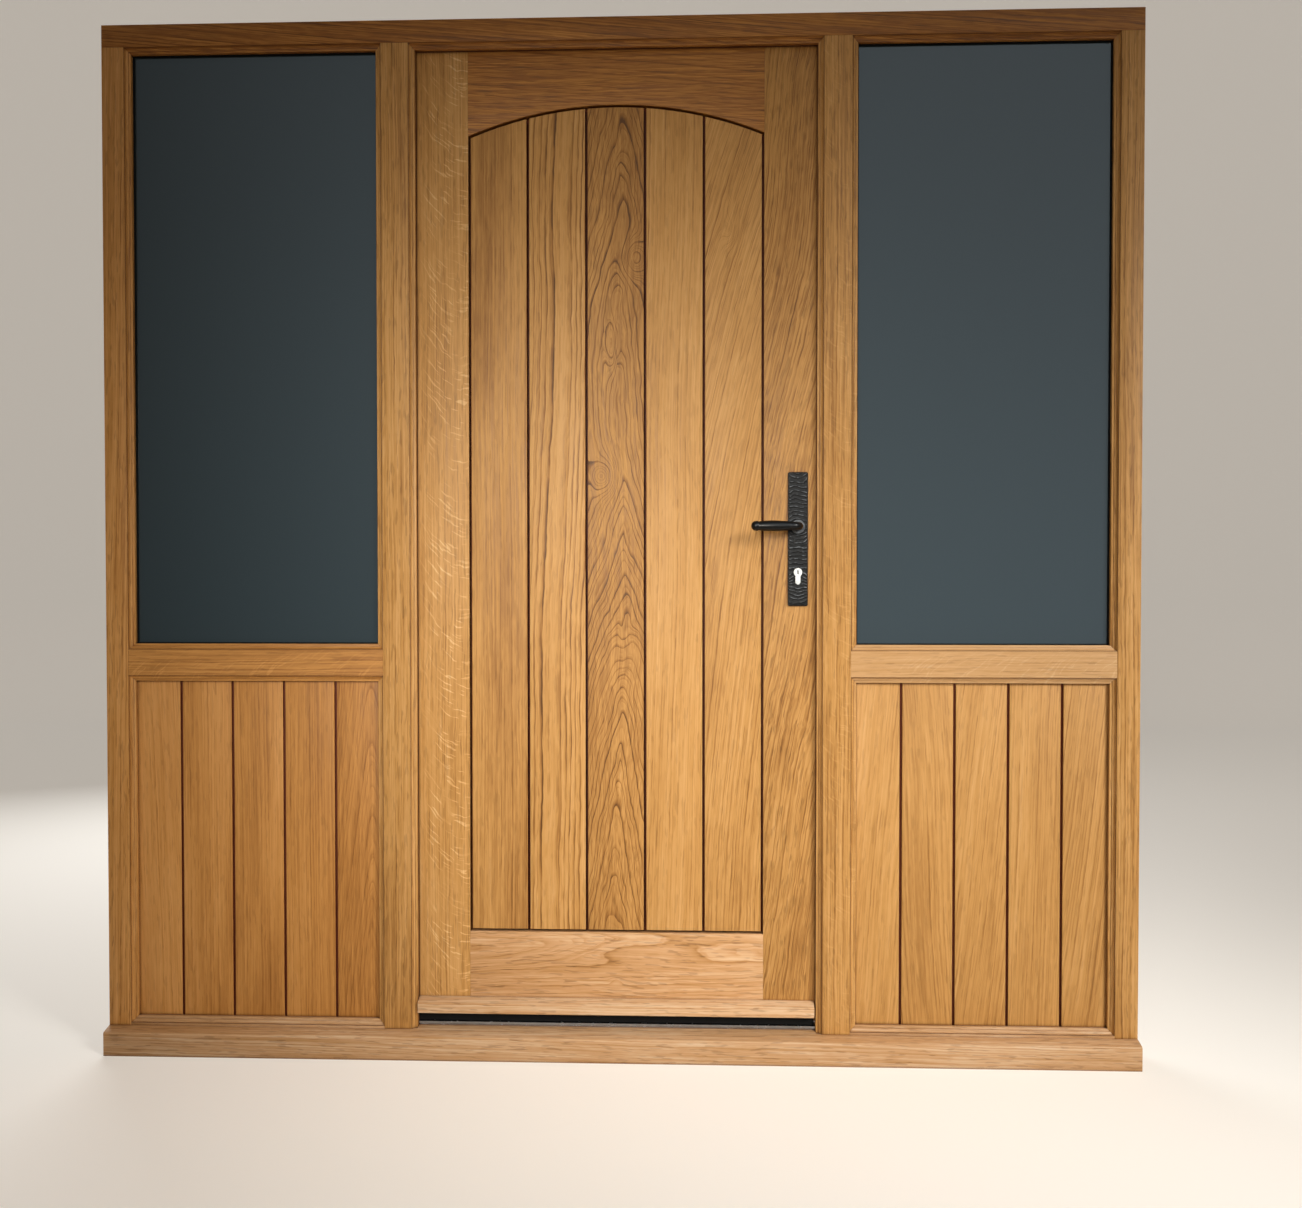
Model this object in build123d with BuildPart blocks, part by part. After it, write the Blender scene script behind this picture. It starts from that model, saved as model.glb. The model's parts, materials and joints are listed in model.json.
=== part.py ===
from math import sqrt
import os

from build123d import *

# Oak entrance doorset seen from outside: a boarded, arch-headed leaf between two side lights.
# X runs to the right, Y into the house, Z up. The origin is on the sill's underside, under the
# middle of the frame's outside face.

os.makedirs("parts", exist_ok=True)

# Frame
frame_width = 2093.0
jamb_face = 45.5
head_face = 45.0
mullion_face = 55.5
rail_face = 52.5
rail_height = 777.5
stop_depth = 17.0
rebate_lap = 16.0
tenon_thickness = 16.0
tenon_setback = 38.0
tenon_shoulder = 7.0
tenon_length = 20.0
foot_tenon = 24.0
fit_gap = 0.2

# Moulding run round every opening
moulding_width = 12.0
quirk_width = 1.5
quirk_depth = 2.0
ovolo_drop = 1.0
ovolo_radius = 5.5
fillet_depth = 8.0

# Sill
sill_height = 54.5
sill_nose = 28.0
sill_fall = 6.5
sill_round = 4.0
upstand_face = 5.0
drip_width = 6.0
drip_depth = 5.0
drip_setback = 10.0

# Leaf
leaf_width = 838.0
leaf_height = 1981.0
leaf_thickness = 56.0
leaf_foot_gap = 7.0
edge_gap = 3.0
seal_gap = 3.0
stile_width = 119.0
bottom_rail_height = 176.5
arch_crown = 1855.0
arch_radius = 779.5
board_count = 5
board_recess = 1.0
shadow_gap = 5.0
tongue_thickness = 14.0
tongue_engaged = 8.0
groove_extra = 0.5
leaf_tenon = 60.0
leaf_tenon_shoulder = 20.0
board_chamfer = 1.0

# Side panels
panel_board_thickness = 22.0
panel_tongue = 8.0
panel_edge_gap = 1.5
panel_top_gap = 2.0

# Sealed glass units
pane_thickness = 4.0
pane_space = 20.0
pane_edge_gap = 4.0
front_seal = 3.0
rear_seal = 2.0
seal_sight = 2.5
seal_width = 11.0
spacer_inset = 4.0
spacer_width = 9.5
bead_bevel = 5.0

# Threshold, weatherboard and seals
threshold_rise = 4.0
threshold_run = 18.0
bar_height = 9.5
bar_start = 13.0
bar_depth = 53.0
bar_lip = 3.5
bar_lip_lift = 4.5
bar_overhang = 4.0
bar_end_gap = 1.0
seal_clearance = 0.3
door_seal_width = 10.0
door_seal_sight = 1.0
weatherboard_depth = 20.0
weatherboard_height = 30.0
weatherboard_lift = 12.0
weatherboard_fall = 9.0
weatherboard_hinge_gap = 1.0
weatherboard_lock_gap = 3.5
weatherboard_drip = 3.0
bottom_seal_thickness = 3.0

# Butt hinges
hinge_height = 102.0
hinge_leaf_width = 32.0
hinge_leaf_thickness = 3.0
knuckle_radius = 6.0
knuckle_lift = 6.5
knuckle_gap = 0.3
knuckle_count = 5
pin_radius = 3.0
running_clearance = 0.05
hinge_inset = 225.0

# Lock and lever furniture
backset = 50.5
lever_height = 1080.0
lever_to_cylinder = 92.0
plate_width = 40.0
plate_height = 270.0
plate_thickness = 4.0
plate_drop = 25.0
plate_corner = 3.0
plate_edge = 1.2
boss_radius = 14.0
boss_height = 3.5
neck_radius = 8.0
lever_reach = 48.0
lever_length = 96.0
elbow_radius = 14.0
grip_radius = 10.7
throat_radius = 9.0
ball_radius = 10.1
spindle_size = 8.0
spindle_fit = 0.05
spindle_engaged = 26.0
hub_radius = 9.0
finger_radius = 19.0
finger_width = 5.0
faceplate_width = 20.0
faceplate_height = 235.0
faceplate_thickness = 3.0
faceplate_drop = 37.5
case_depth = 85.0
case_thickness = 16.0
case_height = 182.0
case_drop = 39.0
case_wall = 2.0
case_clearance = 0.5
stile_bore = 12.0
bolt_thickness = 12.0
bolt_clearance = 0.3
latch_height = 26.0
latch_rise = 27.0
latch_throw = 11.0
latch_length = 45.0
latch_tip = 3.0
tail_height = 11.0
hook_width = 6.0
hook_clearance = 0.6
deadbolt_height = 34.0
deadbolt_rise = 33.5
deadbolt_throw = 20.0
deadbolt_length = 74.0
profile_radius = 8.5
profile_leg_width = 10.0
profile_height = 33.0
profile_clearance = 0.4
cylinder_projection = 4.0
plug_radius = 6.5
cam_width = 9.0
cam_gap = 0.5
cam_ring = 8.3
cam_reach = 13.3
cam_nose_width = 7.0
cylinder_bridge = 9.0
keyway_width = 2.4
keyway_height = 8.0
keyway_depth = 25.0
turn_stem = 4.0
turn_depth = 14.0
turn_width = 26.0
turn_thickness = 9.0
strike_width = 24.0
strike_thickness = 2.5
strike_margin = 14.0
keep_clearance = 2.5
keep_depth = 4.0

# Lines that the pieces share
leaf_edge = leaf_width / 2
door_wall = leaf_edge + edge_gap
door_edge = door_wall - rebate_lap
door_arris = door_edge + moulding_width
light_in_arris = door_arris + mullion_face
light_in = light_in_arris + moulding_width
light_in_wall = light_in - rebate_lap
half_width = frame_width / 2
light_out_arris = half_width - jamb_face
light_out = light_out_arris - moulding_width
light_out_wall = light_out + rebate_lap

threshold_height = sill_height + threshold_rise
bar_top = threshold_height + bar_height
leaf_bottom = bar_top + leaf_foot_gap
leaf_top = leaf_bottom + leaf_height
head_wall = leaf_top + edge_gap
head_line = head_wall - rebate_lap
head_arris = head_line + moulding_width
frame_height = head_arris + head_face
glass_arris = rail_height + rail_face
glass_line = glass_arris + moulding_width
glass_wall = glass_line - rebate_lap
panel_top = rail_height - moulding_width
panel_wall = panel_top + rebate_lap
panel_arris = sill_height + upstand_face
panel_line = panel_arris + moulding_width

leaf_front = stop_depth + seal_gap
leaf_back = leaf_front + leaf_thickness
frame_depth = leaf_back
stile_edge = leaf_edge - stile_width
bottom_rail_top = leaf_bottom + bottom_rail_height
arch_centre = leaf_bottom + arch_crown - arch_radius
rail_arch = arch_radius + shadow_gap / 2
board_arch = arch_radius - shadow_gap / 2
leaf_middle = (leaf_front + leaf_back) / 2
tongue_y = (leaf_middle - tongue_thickness / 2, leaf_middle + tongue_thickness / 2)
plough_y = (tongue_y[0] - fit_gap, tongue_y[1] + fit_gap)
plough_depth = tongue_engaged + groove_extra
frame_tenon_y = (tenon_setback, tenon_setback + tenon_thickness)

handle_x = leaf_edge - backset
cylinder_height = lever_height - lever_to_cylinder
hinge_x = -(leaf_edge + edge_gap / 2)
hinge_y = leaf_back + knuckle_lift
hinge_heights = {
    "lower": leaf_bottom + hinge_inset,
    "middle": (leaf_bottom + leaf_top) / 2,
    "upper": leaf_top - hinge_inset,
}
sides = (("left", -1), ("right", 1))


def block(x, y, z, mode=Mode.ADD):
    """A square-edged block between pairs of limits."""
    with BuildSketch(Plane.XY.offset(z[0])) as section:
        with Locations(((x[0] + x[1]) / 2, (y[0] + y[1]) / 2)):
            Rectangle(abs(x[1] - x[0]), abs(y[1] - y[0]))
    extrude(section.sketch, amount=z[1] - z[0], mode=mode)


def facing(y):
    """The plane at depth y that faces out of the house: its own x is X and its own y is Z."""
    return Plane.XZ.offset(-y)


def slab(points, y, mode=Mode.ADD):
    """A flat outline in X and Z, given a thickness along Y."""
    with BuildSketch(facing(y[0])) as section:
        Polygon(*points, align=None)
    extrude(section.sketch, amount=y[0] - y[1], mode=mode)


def run(points, x, mode=Mode.ADD):
    """A section in Y and Z, run along X."""
    with BuildSketch(Plane.YZ.offset(x[0])) as section:
        Polygon(*points, align=None)
    extrude(section.sketch, amount=x[1] - x[0], mode=mode)


def ring(x, z, width, y):
    """A rectangular ring, its outside on the pairs of limits."""
    with BuildSketch(facing(y[0])) as section:
        with Locations(((x[0] + x[1]) / 2, (z[0] + z[1]) / 2)):
            Rectangle(abs(x[1] - x[0]), z[1] - z[0])
            Rectangle(abs(x[1] - x[0]) - 2 * width, z[1] - z[0] - 2 * width, mode=Mode.SUBTRACT)
    extrude(section.sketch, amount=y[0] - y[1])


def save(builder, name):
    """Label a finished piece and write it."""
    builder.part.label = name
    export_step(builder.part, f"parts/{name}.step")


def moulding(x, z):
    """What the moulding plane takes off round an opening: quirk, ovolo and sunk fillet."""
    middle = (x[0] + x[1]) / 2
    clear = 1.0
    ovolo_end = moulding_width - quirk_width
    ovolo_start = ovolo_end - ovolo_radius
    with BuildPart() as cut:
        with BuildLine():
            Polyline(
                (middle, 0, z[0]),
                (x[1], 0, z[0]),
                (x[1], 0, z[1]),
                (x[0], 0, z[1]),
                (x[0], 0, z[0]),
                close=True,
            )
        with BuildSketch(Plane(origin=(middle, 0, z[0]), x_dir=(0, 0, -1), z_dir=(1, 0, 0))):
            with BuildLine():
                Polyline(
                    (ovolo_start, ovolo_drop + ovolo_radius),
                    (ovolo_start, fillet_depth),
                    (-clear, fillet_depth),
                    (-clear, -clear),
                    (moulding_width, -clear),
                    (moulding_width, quirk_depth),
                    (ovolo_end, quirk_depth),
                    (ovolo_end, ovolo_drop),
                )
                RadiusArc(
                    (ovolo_end, ovolo_drop),
                    (ovolo_start, ovolo_drop + ovolo_radius),
                    -ovolo_radius,
                )
            make_face()
        sweep(transition=Transition.RIGHT)
    return cut.part


def outline(points, side):
    """The outline of one side light's member, mirrored for the left."""
    return [(side * px, pz) for px, pz in points]


head_outline = [(half_width, frame_height), (half_width, head_arris), (light_out_arris, head_arris)]
head_outline += [(light_out, head_line), (light_in, head_line), (light_in_arris, head_arris)]
head_outline += [(door_arris, head_arris), (door_edge, head_line)]
head_outline += [(-px, pz) for px, pz in reversed(head_outline)]

rail_outline = [(light_in_arris, glass_arris), (light_in, glass_line), (light_out, glass_line)]
rail_outline += [(light_out_arris, glass_arris), (light_out_arris, rail_height), (light_out, panel_top)]
rail_outline += [(light_in, panel_top), (light_in_arris, rail_height)]

upstand_outline = [(light_in_arris, sill_height), (light_in_arris, panel_arris), (light_in, panel_line)]
upstand_outline += [(light_out, panel_line), (light_out_arris, panel_arris), (light_out_arris, sill_height)]

jamb_tenon_x = (light_out_wall + tenon_shoulder, half_width - tenon_shoulder)
mullion_tenon_x = (door_wall + tenon_shoulder, light_in_wall - tenon_shoulder)
rail_tenon_z = (panel_wall + tenon_shoulder, glass_wall - tenon_shoulder)

door_moulding = moulding((-door_edge, door_edge), (-frame_height, head_line))
glass_moulding = {}
panel_moulding = {}
for _, side in sides:
    opening = sorted((side * light_in, side * light_out))
    glass_moulding[side] = moulding(opening, (glass_line, head_line))
    panel_moulding[side] = moulding(opening, (panel_line, panel_top))


# Sill, with its weathered nose, the moulded upstands under the side panels and the door's threshold seat

with BuildPart() as sill:
    with BuildSketch(Plane.YZ.offset(-half_width)) as sill_section:
        Polygon(
            (-sill_nose, 0),
            (frame_depth, 0),
            (frame_depth, sill_height),
            (0, sill_height),
            (-sill_nose, sill_height - sill_fall),
            align=None,
        )
        nose = sill_section.vertices().group_by(Axis.X)[0]
        fillet(nose.sort_by(Axis.Y)[-1], sill_round)
        fillet(nose.sort_by(Axis.Y)[0], sill_round / 2)
        with Locations((drip_setback + drip_width / 2 - sill_nose, 0)):
            Rectangle(drip_width, 2 * drip_depth, mode=Mode.SUBTRACT)
    extrude(amount=frame_width)
    for _, side in sides:
        slab(outline(upstand_outline, side), (0, stop_depth))
        for tenon in (jamb_tenon_x, mullion_tenon_x):
            block(
                (side * tenon[0], side * tenon[1]),
                frame_tenon_y,
                (sill_height - foot_tenon, sill_height),
                mode=Mode.SUBTRACT,
            )
        add(panel_moulding[side], mode=Mode.SUBTRACT)
    run(
        [
            (0, sill_height),
            (threshold_run, threshold_height),
            (frame_depth, threshold_height),
            (frame_depth, sill_height),
        ],
        (-door_edge, door_edge),
    )
save(sill, "sill")


# Head, rebated for the leaf and the glass

with BuildPart() as head:
    slab(head_outline, (0, stop_depth))
    block((-half_width, half_width), (stop_depth, frame_depth), (head_wall, frame_height))
    for _, side in sides:
        for tenon in (jamb_tenon_x, mullion_tenon_x):
            block(
                (side * tenon[0], side * tenon[1]),
                frame_tenon_y,
                (head_wall, head_wall + tenon_length),
                mode=Mode.SUBTRACT,
            )
        add(glass_moulding[side], mode=Mode.SUBTRACT)
    add(door_moulding, mode=Mode.SUBTRACT)
save(head, "head")


# Jambs, mullions and mid rails of the two side lights


def upright(side, front, rear, tenon):
    """A post of the frame: moulded front part, rebated rear part, and a tenon at each end."""
    block((side * front[0], side * front[1]), (0, stop_depth), (sill_height, frame_height))
    slab(head_outline, (0, stop_depth), mode=Mode.SUBTRACT)
    slab(outline(rail_outline, side), (0, stop_depth), mode=Mode.SUBTRACT)
    slab(outline(upstand_outline, side), (0, stop_depth), mode=Mode.SUBTRACT)
    block((side * rear[0], side * rear[1]), (stop_depth, frame_depth), (sill_height, head_wall))
    block((side * tenon[0], side * tenon[1]), frame_tenon_y, (sill_height - foot_tenon, sill_height))
    block((side * tenon[0], side * tenon[1]), frame_tenon_y, (head_wall, head_wall + tenon_length))


for name, side in sides:
    with BuildPart() as jamb:
        upright(side, (light_out, half_width), (light_out_wall, half_width), jamb_tenon_x)
        block(
            (side * light_out_wall, side * (light_out_wall + tenon_length)),
            frame_tenon_y,
            rail_tenon_z,
            mode=Mode.SUBTRACT,
        )
        add(glass_moulding[side], mode=Mode.SUBTRACT)
        add(panel_moulding[side], mode=Mode.SUBTRACT)
    save(jamb, f"{name}_jamb")

    with BuildPart() as rail:
        slab(outline(rail_outline, side), (0, stop_depth))
        block(
            (side * light_in_wall, side * light_out_wall),
            (stop_depth, frame_depth),
            (panel_wall, glass_wall),
        )
        block(
            (side * (light_in_wall - tenon_length), side * (light_out_wall + tenon_length)),
            frame_tenon_y,
            rail_tenon_z,
        )
        add(glass_moulding[side], mode=Mode.SUBTRACT)
        add(panel_moulding[side], mode=Mode.SUBTRACT)
    save(rail, f"{name}_mid_rail")

strike_x = (door_wall, door_wall + strike_thickness)
latch_z = (lever_height + latch_rise - latch_height / 2, lever_height + latch_rise + latch_height / 2)
deadbolt_middle = cylinder_height + deadbolt_rise
deadbolt_z = (deadbolt_middle - deadbolt_height / 2, deadbolt_middle + deadbolt_height / 2)
bolt_y = (leaf_middle - bolt_thickness / 2, leaf_middle + bolt_thickness / 2)
strike_z = (deadbolt_z[0] - strike_margin, latch_z[1] + strike_margin)
strike_y = (leaf_middle - strike_width / 2, leaf_middle + strike_width / 2)
keep_y = (bolt_y[0] - keep_clearance / 2, bolt_y[1] + keep_clearance / 2)
latch_keep_z = (latch_z[0] - keep_clearance, latch_z[1] + keep_clearance)
deadbolt_keep_z = (deadbolt_z[0] - keep_clearance, deadbolt_z[1] + keep_clearance)
latch_reach = leaf_edge + latch_throw
deadbolt_reach = leaf_edge + deadbolt_throw

for name, side in sides:
    with BuildPart() as mullion:
        upright(side, (door_edge, light_in), (door_wall, light_in_wall), mullion_tenon_x)
        block(
            (side * light_in_wall, side * (light_in_wall - tenon_length)),
            frame_tenon_y,
            rail_tenon_z,
            mode=Mode.SUBTRACT,
        )
        add(glass_moulding[side], mode=Mode.SUBTRACT)
        add(panel_moulding[side], mode=Mode.SUBTRACT)
        add(door_moulding, mode=Mode.SUBTRACT)
        if name == "left":
            for height in hinge_heights.values():
                block(
                    (-door_wall, -(door_wall + hinge_leaf_thickness)),
                    (frame_depth - hinge_leaf_width, frame_depth),
                    (height - hinge_height / 2, height + hinge_height / 2),
                    mode=Mode.SUBTRACT,
                )
        else:
            block(strike_x, strike_y, strike_z, mode=Mode.SUBTRACT)
            block((strike_x[1], latch_reach + keep_depth), keep_y, latch_keep_z, mode=Mode.SUBTRACT)
            block((strike_x[1], deadbolt_reach + keep_depth), keep_y, deadbolt_keep_z, mode=Mode.SUBTRACT)
    save(mullion, f"{name}_mullion")

with BuildPart() as strike_plate:
    block(strike_x, strike_y, strike_z)
    block(strike_x, keep_y, latch_keep_z, mode=Mode.SUBTRACT)
    block(strike_x, keep_y, deadbolt_keep_z, mode=Mode.SUBTRACT)
save(strike_plate, "strike_plate")


# Sealed glass units, with their seals and room-side beads

pane_x = (light_in_wall + pane_edge_gap, light_out_wall - pane_edge_gap)
pane_z = (glass_wall + pane_edge_gap, head_wall - pane_edge_gap)
glass_front = stop_depth + front_seal
glass_inner = glass_front + pane_thickness + pane_space
glass_back = glass_inner + pane_thickness


def bead(x, z, y):
    """A room-side glazing bead, mitred round its opening and bevelled towards the room."""
    ring(x, z, rebate_lap, y)
    room_face = bead_part.faces().sort_by(Axis.Y)[-1]
    chamfer(room_face.inner_wires()[0].edges(), bead_bevel)


seal_rows = ((stop_depth, glass_front), (glass_back, glass_back + rear_seal))
with BuildPart() as glazing_seals:
    for _, side in sides:
        for row in seal_rows:
            ring(
                (side * (light_in + seal_sight - seal_width), side * (light_out - seal_sight + seal_width)),
                (glass_line + seal_sight - seal_width, head_line - seal_sight + seal_width),
                seal_width,
                row,
            )
save(glazing_seals, "glazing_seals")

for name, side in sides:
    light_x = (side * light_in_wall, side * light_out_wall)
    side_pane_x = (side * pane_x[0], side * pane_x[1])

    with BuildPart() as outer_pane:
        block(side_pane_x, (glass_front, glass_front + pane_thickness), pane_z)
    save(outer_pane, f"{name}_outer_pane")

    with BuildPart() as inner_pane:
        block(side_pane_x, (glass_inner, glass_back), pane_z)
    save(inner_pane, f"{name}_inner_pane")

    with BuildPart() as spacer:
        ring(
            (side * (pane_x[0] + spacer_inset), side * (pane_x[1] - spacer_inset)),
            (pane_z[0] + spacer_inset, pane_z[1] - spacer_inset),
            spacer_width,
            (glass_front + pane_thickness, glass_inner),
        )
    save(spacer, f"{name}_spacer")

    with BuildPart() as bead_part:
        bead(light_x, (glass_wall, head_wall), (glass_back + rear_seal, frame_depth))
    save(bead_part, f"{name}_glass_bead")


# Side panels of tongued and grooved boards, held by their own beads

panel_back = stop_depth + panel_board_thickness
panel_pitch = (light_out_wall - light_in_wall) / board_count
panel_tongue_y = (
    stop_depth + (panel_board_thickness - panel_tongue) / 2,
    stop_depth + (panel_board_thickness + panel_tongue) / 2,
)
panel_z = (sill_height, panel_wall - panel_top_gap)

for name, side in sides:
    light_x = sorted((side * light_in_wall, side * light_out_wall))
    for index in range(board_count):
        left = light_x[0] + index * panel_pitch + shadow_gap / 2
        right = left + panel_pitch - shadow_gap
        if index == 0:
            left = light_x[0] + panel_edge_gap
        if index == board_count - 1:
            right = light_x[1] - panel_edge_gap
        with BuildPart() as board:
            block((left, right), (stop_depth, panel_back), panel_z)
            chamfer(board.faces().sort_by(Axis.Y)[0].edges().filter_by(Axis.Z), board_chamfer)
            if index < board_count - 1:
                block((right, right + shadow_gap + tongue_engaged), panel_tongue_y, panel_z)
            if index > 0:
                block(
                    (left, left + plough_depth),
                    (panel_tongue_y[0] - fit_gap, panel_tongue_y[1] + fit_gap),
                    panel_z,
                    mode=Mode.SUBTRACT,
                )
        save(board, f"{name}_board_{index + 1}")

    with BuildPart() as bead_part:
        bead(light_x, (sill_height, panel_wall), (panel_back, frame_depth))
    save(bead_part, f"{name}_panel_bead")


# Threshold bar and the seals of the door opening

with BuildPart() as threshold_bar:
    run(
        [
            (bar_start, threshold_height + bar_lip_lift),
            (bar_start, threshold_height + bar_lip_lift + bar_lip),
            (leaf_front, bar_top),
            (bar_start + bar_depth, bar_top),
            (bar_start + bar_depth, threshold_height),
            (max(threshold_run, bar_start + bar_overhang), threshold_height),
            (max(threshold_run, bar_start + bar_overhang), threshold_height + bar_lip_lift),
        ],
        (-door_edge + bar_end_gap, door_edge - bar_end_gap),
    )
save(threshold_bar, "threshold_bar")

with BuildPart() as door_seal:
    seal_in = door_edge - door_seal_sight
    seal_out = seal_in + door_seal_width
    seal_top = head_line - door_seal_sight
    with BuildSketch(facing(stop_depth)):
        Polygon(
            (-seal_out, threshold_height),
            (-seal_out, seal_top + door_seal_width),
            (seal_out, seal_top + door_seal_width),
            (seal_out, threshold_height),
            (seal_in, threshold_height),
            (seal_in, seal_top),
            (-seal_in, seal_top),
            (-seal_in, threshold_height),
            align=None,
        )
    extrude(amount=-(seal_gap - seal_clearance))
save(door_seal, "door_seal")


# Butt hinges: each has a plate in the frame that carries the pin, and a plate in the leaf's edge

knuckle_pitch = hinge_height / knuckle_count
for name, height in hinge_heights.items():
    foot = height - hinge_height / 2

    with BuildPart() as frame_hinge:
        block(
            (-door_wall, -(door_wall + hinge_leaf_thickness)),
            (frame_depth - hinge_leaf_width, frame_depth),
            (foot, foot + hinge_height),
        )
        for index in range(0, knuckle_count, 2):
            low = foot + index * knuckle_pitch
            high = low + knuckle_pitch - knuckle_gap
            block((-door_wall, -(door_wall + hinge_leaf_thickness)), (frame_depth, hinge_y), (low, high))
            with Locations((hinge_x, hinge_y, (low + high) / 2)):
                Cylinder(knuckle_radius, high - low)
        with Locations((hinge_x, hinge_y, height)):
            Cylinder(pin_radius, hinge_height)
    save(frame_hinge, f"{name}_frame_hinge")

    with BuildPart() as leaf_hinge:
        block(
            (-leaf_edge, -(leaf_edge - hinge_leaf_thickness)),
            (leaf_back - hinge_leaf_width, leaf_back),
            (foot, foot + hinge_height),
        )
        for index in range(1, knuckle_count, 2):
            low = foot + index * knuckle_pitch
            high = low + knuckle_pitch - knuckle_gap
            block((-leaf_edge, -(leaf_edge - hinge_leaf_thickness)), (leaf_back, hinge_y), (low, high))
            with Locations((hinge_x, hinge_y, (low + high) / 2)):
                Cylinder(knuckle_radius, high - low)
                Cylinder(pin_radius + running_clearance, high - low, mode=Mode.SUBTRACT)
    save(leaf_hinge, f"{name}_leaf_hinge")


# Leaf: two stiles, an arched top rail, a bottom rail and five boards tongued into them

def arch_height(x, radius):
    """Height of an arc struck from the arch's centre, at a distance from the leaf's middle."""
    return arch_centre + sqrt(radius**2 - x**2)


leaf_y = (leaf_front, leaf_back)
leaf_tenon_y = (leaf_middle - tenon_thickness / 2, leaf_middle + tenon_thickness / 2)
plough_top = arch_height(stile_edge, rail_arch + plough_depth)
top_tenon_z = (arch_height(stile_edge, rail_arch) + leaf_tenon_shoulder, leaf_top - leaf_tenon_shoulder)
bottom_tenon_z = (leaf_bottom + leaf_tenon_shoulder, bottom_rail_top - leaf_tenon_shoulder)


def stile(side):
    """A stile with the plough for the board beside it and mortices for both rails."""
    block((side * stile_edge, side * leaf_edge), leaf_y, (leaf_bottom, leaf_top))
    block(
        (side * stile_edge, side * (stile_edge + plough_depth)),
        plough_y,
        (bottom_rail_top - plough_depth, plough_top),
        mode=Mode.SUBTRACT,
    )
    for tenon in (top_tenon_z, bottom_tenon_z):
        block((side * stile_edge, side * (stile_edge + leaf_tenon)), leaf_tenon_y, tenon, mode=Mode.SUBTRACT)


with BuildPart() as hinge_stile:
    stile(-1)
    for height in hinge_heights.values():
        block(
            (-leaf_edge, -(leaf_edge - hinge_leaf_thickness)),
            (leaf_back - hinge_leaf_width, leaf_back),
            (height - hinge_height / 2, height + hinge_height / 2),
            mode=Mode.SUBTRACT,
        )
save(hinge_stile, "hinge_stile")


def euro_profile(y, clearance, mode=Mode.ADD):
    """The keyhole-shaped section of a profile cylinder, run along Y."""
    leg = profile_height - profile_radius - profile_leg_width / 2
    with BuildSketch(facing(y[0])) as section:
        with Locations((handle_x, cylinder_height)):
            Circle(profile_radius + clearance)
        with Locations((handle_x, cylinder_height - leg / 2)):
            Rectangle(profile_leg_width + 2 * clearance, leg)
        with Locations((handle_x, cylinder_height - leg)):
            Circle(profile_leg_width / 2 + clearance)
    extrude(section.sketch, amount=y[0] - y[1], mode=mode)


def drum(x, z, radius, y, mode=Mode.ADD):
    """A round solid whose axis runs along Y."""
    with BuildSketch(facing(y[0])) as section:
        with Locations((x, z)):
            Circle(radius)
    extrude(section.sketch, amount=y[0] - y[1], mode=mode)


faceplate_x = (leaf_edge - faceplate_thickness, leaf_edge)
faceplate_y = (leaf_middle - faceplate_width / 2, leaf_middle + faceplate_width / 2)
faceplate_middle = lever_height - faceplate_drop
faceplate_z = (faceplate_middle - faceplate_height / 2, faceplate_middle + faceplate_height / 2)
case_x = (faceplate_x[0] - case_depth, faceplate_x[0])
case_y = (leaf_middle - case_thickness / 2, leaf_middle + case_thickness / 2)
case_middle = lever_height - case_drop
case_z = (case_middle - case_height / 2, case_middle + case_height / 2)

with BuildPart() as lock_stile:
    stile(1)
    block(faceplate_x, faceplate_y, faceplate_z, mode=Mode.SUBTRACT)
    block(
        (case_x[0] - case_clearance, case_x[1]),
        (case_y[0] - case_clearance, case_y[1] + case_clearance),
        (case_z[0] - case_clearance, case_z[1] + case_clearance),
        mode=Mode.SUBTRACT,
    )
    drum(handle_x, lever_height, stile_bore, leaf_y, mode=Mode.SUBTRACT)
    euro_profile(leaf_y, 2 * profile_clearance, mode=Mode.SUBTRACT)
save(lock_stile, "lock_stile")


def under_arch(x, foot, radius, y, mode=Mode.ADD):
    """A slab with a level foot and a top that follows the arch."""
    middle = (x[0] + x[1]) / 2
    with BuildSketch(facing(y[0])) as section:
        with BuildLine():
            Polyline(
                (x[0], arch_height(x[0], radius)),
                (x[0], foot),
                (x[1], foot),
                (x[1], arch_height(x[1], radius)),
            )
            ThreePointArc(
                (x[1], arch_height(x[1], radius)),
                (middle, arch_height(middle, radius)),
                (x[0], arch_height(x[0], radius)),
            )
        make_face()
    extrude(section.sketch, amount=y[0] - y[1], mode=mode)


with BuildPart() as top_rail:
    block((-stile_edge, stile_edge), leaf_y, (bottom_rail_top, leaf_top))
    opening = (-stile_edge, stile_edge)
    under_arch(opening, bottom_rail_top, rail_arch, leaf_y, mode=Mode.SUBTRACT)
    under_arch(opening, bottom_rail_top, rail_arch + plough_depth, plough_y, mode=Mode.SUBTRACT)
    for _, side in sides:
        block((side * stile_edge, side * (stile_edge + leaf_tenon)), leaf_tenon_y, top_tenon_z)
save(top_rail, "top_rail")

with BuildPart() as bottom_rail:
    block((-stile_edge, stile_edge), leaf_y, (leaf_bottom, bottom_rail_top))
    plough_z = (bottom_rail_top - plough_depth, bottom_rail_top)
    block((-stile_edge, stile_edge), plough_y, plough_z, mode=Mode.SUBTRACT)
    for _, side in sides:
        block((side * stile_edge, side * (stile_edge + leaf_tenon)), leaf_tenon_y, bottom_tenon_z)
save(bottom_rail, "bottom_rail")

board_y = (leaf_front + board_recess, leaf_back - board_recess)
board_foot = bottom_rail_top + shadow_gap
tongue_reach = shadow_gap + tongue_engaged
board_pitch = (2 * stile_edge - shadow_gap) / board_count

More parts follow.
